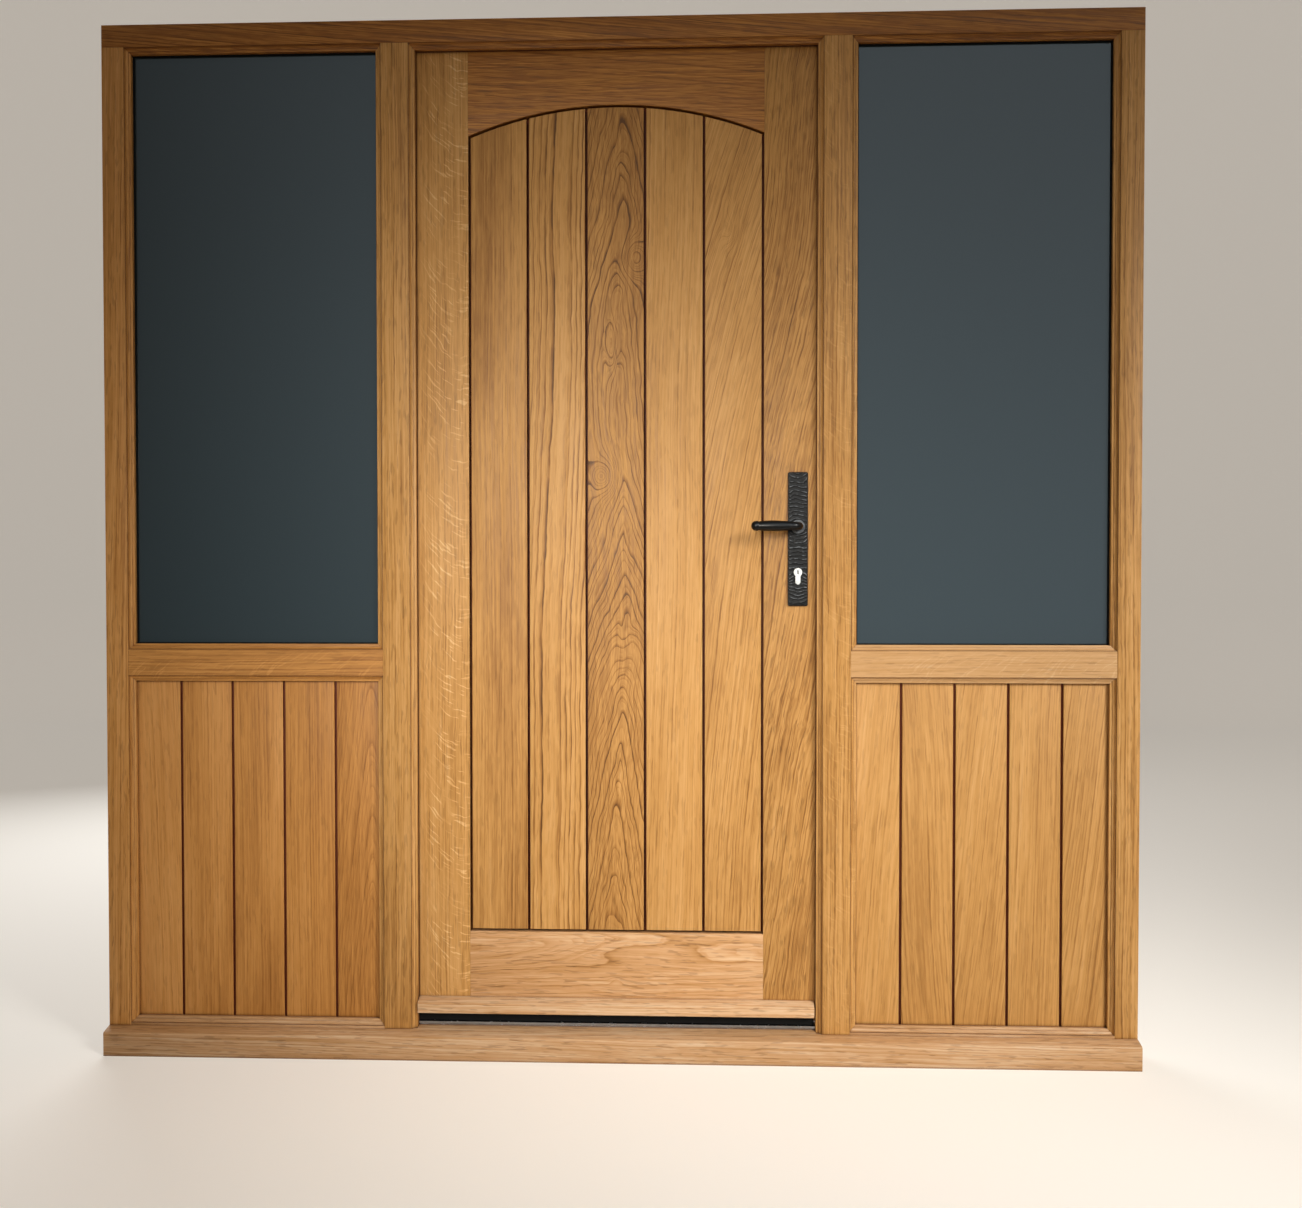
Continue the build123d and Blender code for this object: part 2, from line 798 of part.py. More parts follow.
for index in range(board_count):
    left = -stile_edge + shadow_gap + index * board_pitch
    right = left + board_pitch - shadow_gap
    tongue_left = left - tongue_reach if index == 0 else left
    with BuildPart() as board:
        under_arch((left, right), board_foot, board_arch, board_y)
        for face in (board.faces().sort_by(Axis.Y)[0], board.faces().sort_by(Axis.Y)[-1]):
            chamfer(face.edges(), board_chamfer)
        tongue_x = (tongue_left, right + tongue_reach)
        under_arch(tongue_x, board_foot - tongue_reach, board_arch + tongue_reach, tongue_y)
        if index > 0:
            block(
                (left, left + plough_depth),
                plough_y,
                (board_foot - 2 * tongue_reach, leaf_top),
                mode=Mode.SUBTRACT,
            )
    save(board, f"leaf_board_{index + 1}")


# Weatherboard and the black sealing strip under it

weatherboard_front = leaf_front - weatherboard_depth
weatherboard_foot = leaf_bottom + weatherboard_lift
weatherboard_top = weatherboard_foot + weatherboard_height
weatherboard_x = (-door_edge + weatherboard_hinge_gap, door_edge - weatherboard_lock_gap)

with BuildPart() as weatherboard:
    run(
        [
            (weatherboard_front, weatherboard_foot),
            (weatherboard_front, weatherboard_top - weatherboard_fall),
            (leaf_front, weatherboard_top),
            (leaf_front, weatherboard_foot),
        ],
        weatherboard_x,
    )
    fillet(weatherboard.edges().filter_by(Axis.X).group_by(Axis.Y)[0], sill_round / 2)
    block(
        weatherboard_x,
        (weatherboard_front + 2 * weatherboard_drip, weatherboard_front + 3 * weatherboard_drip),
        (weatherboard_foot, weatherboard_foot + weatherboard_drip),
        mode=Mode.SUBTRACT,
    )
save(weatherboard, "weatherboard")

with BuildPart() as bottom_seal:
    block(
        weatherboard_x,
        (leaf_front - bottom_seal_thickness, leaf_front),
        (bar_top + seal_clearance, weatherboard_foot),
    )
save(bottom_seal, "bottom_seal")


# Mortice lock: case and faceplate, latch bolt and deadbolt


def bolt_hole(z):
    """The opening in the faceplate and the front of the case that a bolt slides through."""
    block(
        (case_x[1] - case_wall, faceplate_x[1]),
        (bolt_y[0] - bolt_clearance, bolt_y[1] + bolt_clearance),
        (z[0] - bolt_clearance, z[1] + bolt_clearance),
        mode=Mode.SUBTRACT,
    )


with BuildPart() as lock_case:
    block(case_x, case_y, case_z)
    block(
        (case_x[0] + case_wall, case_x[1] - case_wall),
        (bolt_y[0] - bolt_clearance, bolt_y[1] + bolt_clearance),
        (case_z[0] + case_wall, case_z[1] - case_wall),
        mode=Mode.SUBTRACT,
    )
    block(faceplate_x, faceplate_y, faceplate_z)
    bolt_hole(latch_z)
    bolt_hole(deadbolt_z)
    drum(handle_x, lever_height, hub_radius + running_clearance, case_y, mode=Mode.SUBTRACT)
    euro_profile(case_y, profile_clearance, mode=Mode.SUBTRACT)
save(lock_case, "lock_case")

finger_top = lever_height + finger_radius
hook_x = handle_x - finger_width / 2 - hook_clearance
tail_z = (finger_top + 2 * hook_clearance, finger_top + 2 * hook_clearance + tail_height)
latch_back = latch_reach - latch_length

with BuildPart() as latch_bolt:
    with BuildSketch(Plane.XY.offset(latch_z[0])):
        Polygon(
            (latch_back, bolt_y[0]),
            (leaf_edge, bolt_y[0]),
            (latch_reach, bolt_y[1] - latch_tip),
            (latch_reach, bolt_y[1]),
            (latch_back, bolt_y[1]),
            align=None,
        )
    extrude(amount=latch_height)
    block((hook_x - hook_width, latch_back), bolt_y, tail_z)
    block(
        (hook_x - hook_width, hook_x),
        bolt_y,
        (lever_height + hub_radius + 2 * hook_clearance, tail_z[0]),
    )
save(latch_bolt, "latch_bolt")

with BuildPart() as deadbolt:
    block((leaf_edge - deadbolt_length, leaf_edge), bolt_y, deadbolt_z)
save(deadbolt, "deadbolt")


# Spindle with the lock's follower, whose finger draws the latch back

with BuildPart() as spindle:
    half = spindle_size / 2
    block(
        (handle_x - half, handle_x + half),
        (leaf_front - spindle_engaged, leaf_back + spindle_engaged),
        (lever_height - half, lever_height + half),
    )
    drum(handle_x, lever_height, hub_radius, case_y)
    block(
        (handle_x - finger_width / 2, handle_x + finger_width / 2),
        bolt_y,
        (lever_height + half, finger_top),
    )
save(spindle, "spindle")


# Hammered backplates, levers and the profile cylinder

plate_middle = lever_height - plate_drop
plate_front = leaf_front - plate_thickness

with BuildPart() as outer_backplate:
    with BuildSketch(facing(leaf_front)):
        with Locations((handle_x, plate_middle)):
            RectangleRounded(plate_width, plate_height, plate_corner)
    extrude(amount=plate_thickness)
    fillet(outer_backplate.faces().sort_by(Axis.Y)[0].edges(), plate_edge)
    drum(handle_x, lever_height, boss_radius, (plate_front - boss_height, plate_front))
    fillet(outer_backplate.faces().sort_by(Axis.Y)[0].edges(), plate_edge)
    drum(
        handle_x,
        lever_height,
        neck_radius + running_clearance,
        (plate_front - boss_height, leaf_front),
        mode=Mode.SUBTRACT,
    )
    euro_profile((plate_front, leaf_front), profile_clearance, mode=Mode.SUBTRACT)
save(outer_backplate, "outer_backplate")

leaf_mid_plane = facing(leaf_middle)

with BuildPart() as inner_backplate:
    add(outer_backplate.part.mirror(leaf_mid_plane))
save(inner_backplate, "inner_backplate")

grip_y = leaf_front - lever_reach
elbow_x = handle_x - elbow_radius
elbow_y = grip_y + elbow_radius
tip_x = handle_x - lever_length
ball_x = tip_x + ball_radius
throat_x = ball_x + sqrt(ball_radius**2 - throat_radius**2)
grip_middle = (elbow_x + throat_x) / 2
grip_axis = Axis((0, grip_y, lever_height), (1, 0, 0))

with BuildPart() as outer_lever:
    drum(handle_x, lever_height, neck_radius, (elbow_y, leaf_front))
    with BuildSketch(facing(elbow_y)):
        with Locations((handle_x, lever_height)):
            Circle(neck_radius)
    revolve(axis=Axis((elbow_x, elbow_y, lever_height), (0, 0, 1)), revolution_arc=-90)
    with BuildSketch(Plane.XY.offset(lever_height)):
        with BuildLine():
            Polyline(
                (tip_x, grip_y),
                (elbow_x, grip_y),
                (elbow_x, grip_y + neck_radius),
            )
            Spline(
                (elbow_x, grip_y + neck_radius),
                (grip_middle, grip_y + grip_radius),
                (throat_x, grip_y + throat_radius),
            )
            ThreePointArc(
                (throat_x, grip_y + throat_radius),
                (ball_x - ball_radius / 2, grip_y + ball_radius * sqrt(3) / 2),
                (tip_x, grip_y),
            )
        make_face()
    revolve(axis=grip_axis)
    socket = spindle_size / 2 + spindle_fit
    block(
        (handle_x - socket, handle_x + socket),
        (leaf_front - spindle_engaged - spindle_fit, leaf_front),
        (lever_height - socket, lever_height + socket),
        mode=Mode.SUBTRACT,
    )
save(outer_lever, "outer_lever")

with BuildPart() as inner_lever:
    add(outer_lever.part.mirror(leaf_mid_plane))
save(inner_lever, "inner_lever")

cylinder_y = (
    plate_front - cylinder_projection,
    leaf_back + plate_thickness + cylinder_projection,
)
cam_y = (leaf_middle - cam_width / 2, leaf_middle + cam_width / 2)
profile_foot = cylinder_height + profile_radius - profile_height

with BuildPart() as cylinder_body:
    euro_profile(cylinder_y, 0)
    drum(handle_x, cylinder_height, plug_radius + running_clearance, cylinder_y, mode=Mode.SUBTRACT)
    block(
        (handle_x - profile_radius, handle_x + profile_radius),
        (cam_y[0] - cam_gap, cam_y[1] + cam_gap),
        (profile_foot + cylinder_bridge, cylinder_height + profile_radius),
        mode=Mode.SUBTRACT,
    )
save(cylinder_body, "cylinder_body")

with BuildPart() as cylinder_plug:
    drum(handle_x, cylinder_height, plug_radius, cylinder_y)
    drum(handle_x, cylinder_height, cam_ring, cam_y)
    block(
        (handle_x - cam_nose_width / 2, handle_x + cam_nose_width / 2),
        cam_y,
        (cylinder_height - cam_reach, cylinder_height),
    )
    block(
        (handle_x - keyway_width / 2, handle_x + keyway_width / 2),
        (cylinder_y[0], cylinder_y[0] + keyway_depth),
        (cylinder_height - keyway_height / 2, cylinder_height + keyway_height / 2),
        mode=Mode.SUBTRACT,
    )
save(cylinder_plug, "cylinder_plug")

turn_front = cylinder_y[1] + turn_stem
with BuildPart() as thumbturn:
    drum(handle_x, cylinder_height, plug_radius - cam_gap, (cylinder_y[1], turn_front))
    with BuildSketch(facing(turn_front)):
        with Locations((handle_x, cylinder_height)):
            SlotOverall(turn_width, turn_thickness, rotation=90)
    extrude(amount=-turn_depth)
    fillet(thumbturn.faces().sort_by(Axis.Y)[-1].edges(), plate_edge)
save(thumbturn, "thumbturn")
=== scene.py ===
import json
import math

import bmesh
import bpy
from mathutils import Matrix, Vector, noise


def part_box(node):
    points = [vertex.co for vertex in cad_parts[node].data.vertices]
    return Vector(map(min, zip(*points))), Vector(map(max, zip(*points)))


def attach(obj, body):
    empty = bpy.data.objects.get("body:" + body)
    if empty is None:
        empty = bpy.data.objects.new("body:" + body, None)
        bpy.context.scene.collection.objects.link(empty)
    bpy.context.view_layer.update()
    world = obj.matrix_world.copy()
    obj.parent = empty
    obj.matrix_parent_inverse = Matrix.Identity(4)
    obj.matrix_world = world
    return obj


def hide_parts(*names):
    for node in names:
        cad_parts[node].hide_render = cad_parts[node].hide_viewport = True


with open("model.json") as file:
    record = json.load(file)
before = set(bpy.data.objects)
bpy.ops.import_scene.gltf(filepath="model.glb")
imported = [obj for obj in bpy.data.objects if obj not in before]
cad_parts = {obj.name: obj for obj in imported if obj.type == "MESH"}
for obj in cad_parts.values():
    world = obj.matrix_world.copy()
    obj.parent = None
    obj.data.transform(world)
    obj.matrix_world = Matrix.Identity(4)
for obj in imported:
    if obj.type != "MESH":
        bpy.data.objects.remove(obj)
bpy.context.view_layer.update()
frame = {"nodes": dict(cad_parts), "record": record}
nodes = frame["nodes"]
bodyOf = {name: body for body, names in frame["record"]["behaviour"]["bodies"].items() for name in names}
slotOf = {part["node"]: part["material_slot"] for part in frame["record"]["subparts"]}
bpy.ops.object.select_all(action="DESELECT")

# Metres throughout: X to the right seen from outside, Y into the house, Z up.
upright = (math.radians(90), 0, 0)  # turns what lies flat to face the front

smooth = {"interpolation_type": "SMOOTHSTEP"}
mixColours = {"data_type": "RGBA"}
colourA, colourB, mixed = 6, 7, 2  # a Mix node's sockets for two colours and their mixture


def linear(hexColour):
    channels = [int(hexColour[i : i + 2], 16) / 255 for i in (1, 3, 5)]
    return [c / 12.92 if c <= 0.04045 else ((c + 0.055) / 1.055) ** 2.4 for c in channels] + [1.0]


def addNode(tree, kind, settings=None, inputs=None):
    node = tree.nodes.new(kind)
    for name, value in (settings or {}).items():
        setattr(node, name, value)
    for name, value in (inputs or {}).items():
        if isinstance(value, bpy.types.Node):
            value = value.outputs[0]
        if isinstance(value, bpy.types.NodeSocket):
            tree.links.new(value, node.inputs[name])
        else:
            node.inputs[name].default_value = value
    return node


def window(value, limits):  # a Map Range's inputs: the value, from, to, and what it becomes at each
    return {0: value, **dict(enumerate(limits, 1))}


def newMaterial(name):
    material = bpy.data.materials.new(name)
    material.use_nodes = True
    material.node_tree.nodes.clear()
    return material, material.node_tree


def dress(piece, material):
    piece.data.materials.clear()
    piece.data.materials.append(material)


def pick(piece):
    bpy.ops.object.select_all(action="DESELECT")
    piece.select_set(True)
    bpy.context.view_layer.objects.active = piece


def applyPlace():
    bpy.ops.object.transform_apply(location=True, rotation=True, scale=True)


def turnFacesOutwards():
    bpy.ops.object.mode_set(mode="EDIT")
    bpy.ops.mesh.select_all(action="SELECT")
    bpy.ops.mesh.normals_make_consistent(inside=False)
    bpy.ops.object.mode_set(mode="OBJECT")


# Camera, at the photograph's place and angle
viewPoint = {
    "place": (0.171, -2.518, 0.974),
    "tilt": -1.134,  # degrees, a little down
    "turn": 2.242,  # degrees, a little to the left
    "sensor": 36.0,
    "focalPixels": 1250.0,
    "photoWidth": 1302,
}


def placeCamera():
    data = bpy.data.cameras.new("camera")
    data.sensor_fit = "HORIZONTAL"
    data.sensor_width = viewPoint["sensor"]
    data.lens = viewPoint["focalPixels"] / viewPoint["photoWidth"] * viewPoint["sensor"]
    camera = bpy.data.objects.new("camera", data)
    bpy.context.scene.collection.objects.link(camera)
    camera.location = viewPoint["place"]
    camera.rotation_euler = (math.radians(90 + viewPoint["tilt"]), 0, math.radians(viewPoint["turn"]))
    bpy.context.scene.camera = camera


placeCamera()
print("camera placed")


# Studio: plain pale paper for floor and backdrop, one soft lamp high on the right, one in front, one behind.
# The lamps stand outside what the two panes mirror towards the camera.
studio = {
    "floorSize": 18.0,
    "backdropBehind": 6.5,  # far enough for a camera that looks from behind
    "coveWidth": 0.8,
    "coveSegments": 12,
    "paper": "#DEDCD7",
    "paperRoughness": 0.9,
    "paperSpecular": 0.2,
    "paperGlow": 0.42,  # only where the camera sees the paper itself
    "world": "#FFE6CA",
    "worldStrength": 0.24,
    "sheen": "#D6E4EC",
    "sheenStrength": 1.5,  # only in reflections: a cool light, high to the front right
    "sheenTowards": (0.34, -0.90, 0.28),
    "sheenEdge": (0.62, 0.99),
}
lamps = {
    "key": {
        "place": (2.75, -2.7, 2.3), "aim": (0.55, 0.0, 0.0), "size": (1.4, 1.2),
        "power": 15.0, "spread": 50, "colour": "#FFFAF4",
    },
    "front": {
        "place": (-0.45, -3.1, 1.5), "aim": (-0.08, 0.0, 0.88), "size": (0.9, 0.9),
        "power": 5.4, "spread": 42, "colour": "#FFF6E9",
    },
    "back": {
        "place": (-1.6, 3.0, 2.2), "aim": (0.0, 0.0, 1.0), "size": (2.4, 1.6),
        "power": 75.0, "spread": 180, "colour": "#FFFFFF",
    },
}


def paperMaterial():
    # wide matt paper: an even pale ground that takes a soft shadow
    material, tree = newMaterial("studioPaper")
    path = addNode(tree, "ShaderNodeLightPath").outputs
    glow = addNode(
        tree, "ShaderNodeMath", {"operation": "MULTIPLY"}, {0: path["Is Camera Ray"], 1: studio["paperGlow"]}
    )
    shader = addNode(
        tree,
        "ShaderNodeBsdfPrincipled",
        inputs={
            "Base Color": linear(studio["paper"]),
            "Roughness": studio["paperRoughness"],
            "Specular IOR Level": studio["paperSpecular"],
            "Emission Color": linear(studio["paper"]),
            "Emission Strength": glow,
        },
    )
    addNode(tree, "ShaderNodeOutputMaterial", inputs={"Surface": shader})
    return material


def layPaper():
    size = studio["floorSize"]
    bpy.ops.mesh.primitive_plane_add(size=size, location=(0, studio["backdropBehind"] - size / 2, 0))
    applyPlace()
    floor = bpy.context.object
    floor.name = "floor"
    bpy.ops.object.mode_set(mode="EDIT")
    bpy.ops.mesh.select_all(action="DESELECT")
    mesh = bmesh.from_edit_mesh(floor.data)
    for edge in mesh.edges:  # the far edge rises as the backdrop
        edge.select = all(vertex.co.y > studio["backdropBehind"] - studio["coveWidth"] for vertex in edge.verts)
    bmesh.update_edit_mesh(floor.data)
    bpy.ops.mesh.extrude_region_move(TRANSFORM_OT_translate={"value": (0, 0, size / 2)})
    bpy.ops.object.mode_set(mode="OBJECT")
    curve = floor.modifiers.new("cove", "BEVEL")
    curve.width = studio["coveWidth"]
    curve.segments = studio["coveSegments"]
    bpy.ops.object.modifier_apply(modifier="cove")
    bpy.ops.object.shade_smooth()
    dress(floor, paperMaterial())
    floor.select_set(False)


def lightStudio():
    world = bpy.data.worlds.new("studioWorld")
    bpy.context.scene.world = world
    world.use_nodes = True
    world.node_tree.nodes.clear()
    tree = world.node_tree
    even = addNode(
        tree,
        "ShaderNodeBackground",
        inputs={"Color": linear(studio["world"]), "Strength": studio["worldStrength"]},
    )
    direction = addNode(tree, "ShaderNodeTexCoord").outputs["Generated"]
    towards = addNode(
        tree, "ShaderNodeVectorMath", {"operation": "DOT_PRODUCT"}, {0: direction, 1: studio["sheenTowards"]}
    )
    brightness = (*studio["sheenEdge"], studio["worldStrength"], studio["sheenStrength"])
    bright = addNode(tree, "ShaderNodeMapRange", smooth, window(towards.outputs["Value"], brightness))
    sheen = addNode(tree, "ShaderNodeBackground", inputs={"Color": linear(studio["sheen"]), "Strength": bright})
    path = addNode(tree, "ShaderNodeLightPath").outputs
    light = addNode(tree, "ShaderNodeMixShader", inputs={0: path["Is Glossy Ray"], 1: even, 2: sheen})
    addNode(tree, "ShaderNodeOutputWorld", inputs={"Surface": light})
    for name, lamp in lamps.items():
        data = bpy.data.lights.new(name, "AREA")
        data.shape = "RECTANGLE"
        data.size, data.size_y = lamp["size"]
        data.energy = lamp["power"]
        data.spread = math.radians(lamp["spread"])
        data.color = linear(lamp["colour"])[:3]
        holder = bpy.data.objects.new(name, data)
        bpy.context.scene.collection.objects.link(holder)
        holder.visible_camera = False  # a view from any side looks past the lamps
        holder.location = lamp["place"]
        aim = Vector(lamp["aim"]) - Vector(lamp["place"])
        holder.rotation_euler = aim.to_track_quat("-Z", "Y").to_euler()
    bpy.context.scene.view_settings.view_transform = "Standard"


layPaper()
lightStudio()
print("studio lit")


# Oak, planed and oiled. A board is cut from rings round a pith: its face shows straight lines where the
# pith is far to the side, and nested arches where the pith lies behind the face. Its pores are about 0.3 mm
# wide and lie in rows along each ring; they are drawn about seven times as wide, so that they show.
oakFinish = {
    "shades": ((0.0, "#5C3A16"), (0.25, "#92642F"), (0.5, "#BD8E50"), (0.75, "#D2A66D"), (1.0, "#E6C896")),
    "streakPull": 1.6,  # how far a full streak, or a full ray fleck, moves along the shades
    "fleckPull": 0.34,
    "pore": "#5E3C18",
    "poreDepth": 0.00025,
    "poreRelief": 0.6,  # how strongly the pores' depth shows
    # painted shade in the gaps between boards: its colour, how soon it fades in, and how strong it is
    "paintedGrooveShade": "#7A2416",
    "grooveFade": 0.002,
    "grooveShade": 0.9,
    # the colour of oil and painted shade in joints, also used for the painted shade in quirks and corners
    "joint": "#52260C",
    "jointFade": (0.0020, 0.0006),  # from and to, measured from the member's end
    "jointShade": 0.75,
    "creviceReach": 0.006,  # painted shade darkens quirks and corners within this reach
    "creviceSamples": 6,
    "creviceOpen": (0.25, 0.88),  # how open a place is where the painted shade is full, and where it ends
    "creviceShade": 0.9,
    "roughness": 0.5,
    "roughnessSpread": (-0.06, 0.08),  # dark streaks shine a little more than pale ones
    "streakRange": (0.3, 0.7),
    "specular": 0.3,
}
oakGrowth = {
    "ringProfile": ((0.10, 1.0), (0.34, 0.55)),  # a ring starts dark and crisp, then fades
    "yearStrength": (0.4, 1.0),  # how dark the line of a poor and of a good year is
    "yearPace": 0.37,  # wide and narrow years come in runs
    "yearSwing": 2.0,
    "rowsPerRing": 2.63,
    "rowStart": 0.4,
    "rowWidth": 0.8,
    "tremble": 0.0022,
    "fleckCurl": 9.0,  # per metre: how soon a fleck turns down, away from the board's edge
    "fleckJitter": 0.030,
    "seedStep": 7.31,
    "noiseRoughness": 0.55,
}
# noise stretched along the grain: cycles per metre across, deep and along, octaves, and an offset of its own
oakClouds = {
    "wander": ((3, 3, 1.3), 1.0, 0.0),
    "swirl": ((24, 24, 9), 2.0, 3.7),
    "tremble": ((90, 90, 40), 1.0, 2.9),
    "broken": ((70, 70, 9), 2.0, 4.4),
    "patchy": ((110, 110, 22), 1.0, 5.9),
    "streaks": ((340, 340, 4.0), 1.0, 9.1),
    "broad": ((14, 14, 1.8), 2.0, 5.3),
    "pores": ((250, 250, 26), 1.0, 2.2),
    "fleckJitter": ((22, 22, 16), 2.0, 6.6),
    "fleckStroke": ((30, 30, 190), 1.0, 1.7),
    "fleckPatch": ((20, 20, 9), 1.0, 8.4),
}
# what a cloud or a place becomes: from, to, and the value at each
oakWindows = {
    "broken": (0.34, 0.56, 0.35, 1.0),
    "patchy": (0.40, 0.58, 0.0, 1.0),
    "broad": (0.3, 0.7, -1.0, 1.0),
    "pores": (0.57, 0.64, 0.0, 1.0),
    "poreCrowd": (0.0, 1.0, 0.5, 1.0),
    "fleckStroke": (0.585, 0.64, 0.0, 1.0),
    "fleckPatch": (0.40, 0.55, 0.15, 1.0),
    "fleckReach": (0.11, 0.06, 0.0, 1.0),  # metres from the edge where the flecks lie flat
    "onEdge": (0.75, 0.9, 0.0, 1.0),  # how far a face turns to the side
}

# what every member starts from, lengths in metres; "slope" is the radius that the face gains per metre of length
plainOak = {
    "along": "Z",
    "seed": 1.0,
    "tone": 0.52,
    # a cast painted for light: warm where a member stands in shade, cool where it is lit
    "paintedLightTint": "#FFFFFF",
    "pithAcross": 1.2,
    "pithDepth": 0.01,
    "slope": 0.0,
    "ring": 0.0085,
    "lean": 0.0,
    "fan": 0.0,  # how fast the lean grows upwards
    "wander": 0.020,
    "swirl": 0.004,
    "thin": 0.42,  # width of a ring's dark line, as a share of the ring
    "lines": 0.24,
    "rows": 0.20,  # the finer lines between
    "broad": 0.07,
    "streaks": 0.45,
    "pores": 0.50,
    "fleck": 0.0,
    "fleckEdge": 0.0,  # where, across the board, the flecks lie flat
    "knots": (),  # across, along, half width, half length, height
    "paintedGrooveShade": 0.0,  # how deep the painted shade of a groove starts
    "joints": (),  # axes at whose ends the piece meets another in a fine dark line of oil and painted shade
}
# what the figure takes from a member's look
figureShape = (
    "pithAcross", "pithDepth", "slope", "ring", "lean", "fan", "wander", "swirl", "thin", "fleckEdge",
)

# what the members of a family share, by a part of their names
oakFamilies = {
    "_board_": {"paintedGrooveShade": 0.0012},
    "_bead": {"joints": (0, 2)},
    "_rail": {"joints": (0,)},
    "leaf_board_": {"streaks": 0.27, "pores": 0.3},
    # the left-hand panel boards are warmed as painted shade
    "left_board_": {"lines": 0.14, "rows": 0.13, "streaks": 0.26, "pores": 0.28, "paintedLightTint": "#FFF2E0"},
    "right_board_": {"lines": 0.16, "rows": 0.13, "streaks": 0.26, "pores": 0.28},
}
# Besides the oak's own colour, tone and tint paint light: the head darker and warmer for painted shade at the top,
# the left jamb and left mid rail warmer for painted shade, the sill and the right mid rail paler and cooler for
# painted light
frameOak = {
    "sill": {"along": "X", "seed": 3, "tone": 0.79, "paintedLightTint": "#E6E7FF", "lean": 0.02, "broad": 0.1},
    "head": {"along": "X", "seed": 7, "tone": 0.34, "paintedLightTint": "#FFEED2", "ring": 0.012, "lean": 0.10, "lines": 0.30},
    "left_jamb": {"seed": 11, "tone": 0.6, "paintedLightTint": "#FFF4E4", "lean": 0.02},
    "right_jamb": {"seed": 12, "tone": 0.53, "wander": 0.03, "lines": 0.30},
    "left_mullion": {"seed": 13, "tone": 0.56},
    "right_mullion": {"seed": 14, "tone": 0.5, "fleck": 0.25, "fleckEdge": 0.04},
    "left_mid_rail": {
        "along": "X", "seed": 15, "tone": 0.45, "paintedLightTint": "#FFF4E4", "lines": 0.16, "rows": 0.14, "broad": 0.05,
        "streaks": 0.30, "pores": 0.35, "fleck": 0.32, "fleckEdge": 0.07,
    },
    "right_mid_rail": {
        "along": "X", "seed": 16, "tone": 0.70, "paintedLightTint": "#EEF0FF", "lines": 0.14, "rows": 0.12, "broad": 0.05,
        "streaks": 0.26, "pores": 0.3, "fleck": 0.30, "fleckEdge": 0.07,
    },
    "left_glass_bead": {"seed": 17, "tone": 0.45},
    "right_glass_bead": {"seed": 18},
    "left_panel_bead": {"seed": 19, "tone": 0.45},
    "right_panel_bead": {"seed": 20},
}
# Besides the oak's own colour, tone and tint paint light: the top rail darker and warmer for painted shade at the
# top, the bottom rail and the weatherboard paler and cooler for painted light
leafOak = {
    "hinge_stile": {
        "seed": 21, "tone": 0.54, "ring": 0.007, "lines": 0.14, "rows": 0.16, "streaks": 0.38, "pores": 0.42,
        "fleck": 0.85, "fleckEdge": 0.056,
    },
    "lock_stile": {
        "seed": 22, "tone": 0.465, "lean": 0.16, "wander": 0.10, "swirl": 0.010, "lines": 0.3, "rows": 0.26,
        "streaks": 0.32, "pores": 0.6,
    },
    "top_rail": {
        "along": "X", "seed": 23, "tone": 0.38, "paintedLightTint": "#FFEED2", "pithAcross": 0.10, "pithDepth": 0.03,
        "slope": 0.10, "ring": 0.011,
    },
    "bottom_rail": {
        "along": "X", "seed": 24, "tone": 0.77, "paintedLightTint": "#F0EDFF", "pithAcross": -0.050, "pithDepth": 0.02,
        "slope": 0.045, "ring": 0.0095, "wander": 0.05, "swirl": 0.008, "lines": 0.38, "streaks": 0.34,
        "knots": ((-0.052, 0.04, 0.026, 0.19, 0.030), (0.012, 0.0, 0.010, 0.012, 0.010)),
    },
    "weatherboard": {"along": "X", "seed": 25, "tone": 0.93, "paintedLightTint": "#EDEBFF"},
    "leaf_board_1": {"seed": 31, "tone": 0.45, "ring": 0.009, "lines": 0.16, "broad": 0.10},
    "leaf_board_2": {
        "seed": 32, "tone": 0.565, "ring": 0.016, "lean": 0.02, "wander": 0.05, "swirl": 0.01, "thin": 0.50,
        "lines": 0.56, "streaks": 0.28,
    },
    "leaf_board_3": {
        "seed": 33, "tone": 0.405, "pithAcross": 0.002, "slope": 0.20, "ring": 0.0095, "wander": 0.10,
        "swirl": 0.022, "thin": 0.30, "lines": 0.60, "rows": 0.18, "streaks": 0.30, "pores": 0.4,
        "knots": (
            (0.0, 0.05, 9.0, 0.26, 0.052),  # the trunk thickens here, so that the lines run straight above
            (0.031, 0.532, 0.024, 0.036, 0.064),
            (-0.013, 0.360, 0.014, 0.054, 0.032),
            (-0.031, 0.090, 0.024, 0.034, 0.058),
            (0.010, -0.240, 0.016, 0.060, 0.016),
        ),
    },
    "leaf_board_4": {"seed": 34, "tone": 0.565, "lean": 0.02, "wander": 0.04, "lines": 0.20},
    "leaf_board_5": {
        "seed": 35, "tone": 0.52, "lean": 0.17, "fan": 0.09, "wander": 0.05, "swirl": 0.006, "lines": 0.26,
        "rows": 0.24, "knots": ((-0.012, 0.595, 0.016, 0.030, 0.022),),
    },
}
panelOak = {
    "left_board_1": {"seed": 41, "tone": 0.6, "lean": -0.03},
    "left_board_2": {"seed": 42, "tone": 0.5, "broad": 0.12},
    "left_board_3": {"seed": 43, "tone": 0.5, "broad": 0.14},
    "left_board_4": {"seed": 44, "tone": 0.48},
    "left_board_5": {"seed": 45, "tone": 0.42, "pithAcross": 0.02, "slope": 0.12, "wander": 0.03, "lines": 0.22},
    "right_board_1": {"seed": 46, "tone": 0.53, "lean": 0.10, "wander": 0.04},
    "right_board_2": {"seed": 47, "tone": 0.50, "lean": -0.05, "wander": 0.04},
    "right_board_3": {"seed": 48, "tone": 0.50, "lean": 0.09, "wander": 0.04},
    "right_board_4": {"seed": 49, "tone": 0.51, "lean": 0.03, "lines": 0.2},
    "right_board_5": {"seed": 50, "tone": 0.50, "lean": 0.12, "wander": 0.05, "lines": 0.24},
}


def oakLook(name, own):
    look = dict(plainOak)
    for part, shared in oakFamilies.items():
        if part in name:
            look.update(shared)
    return {**look, **own}


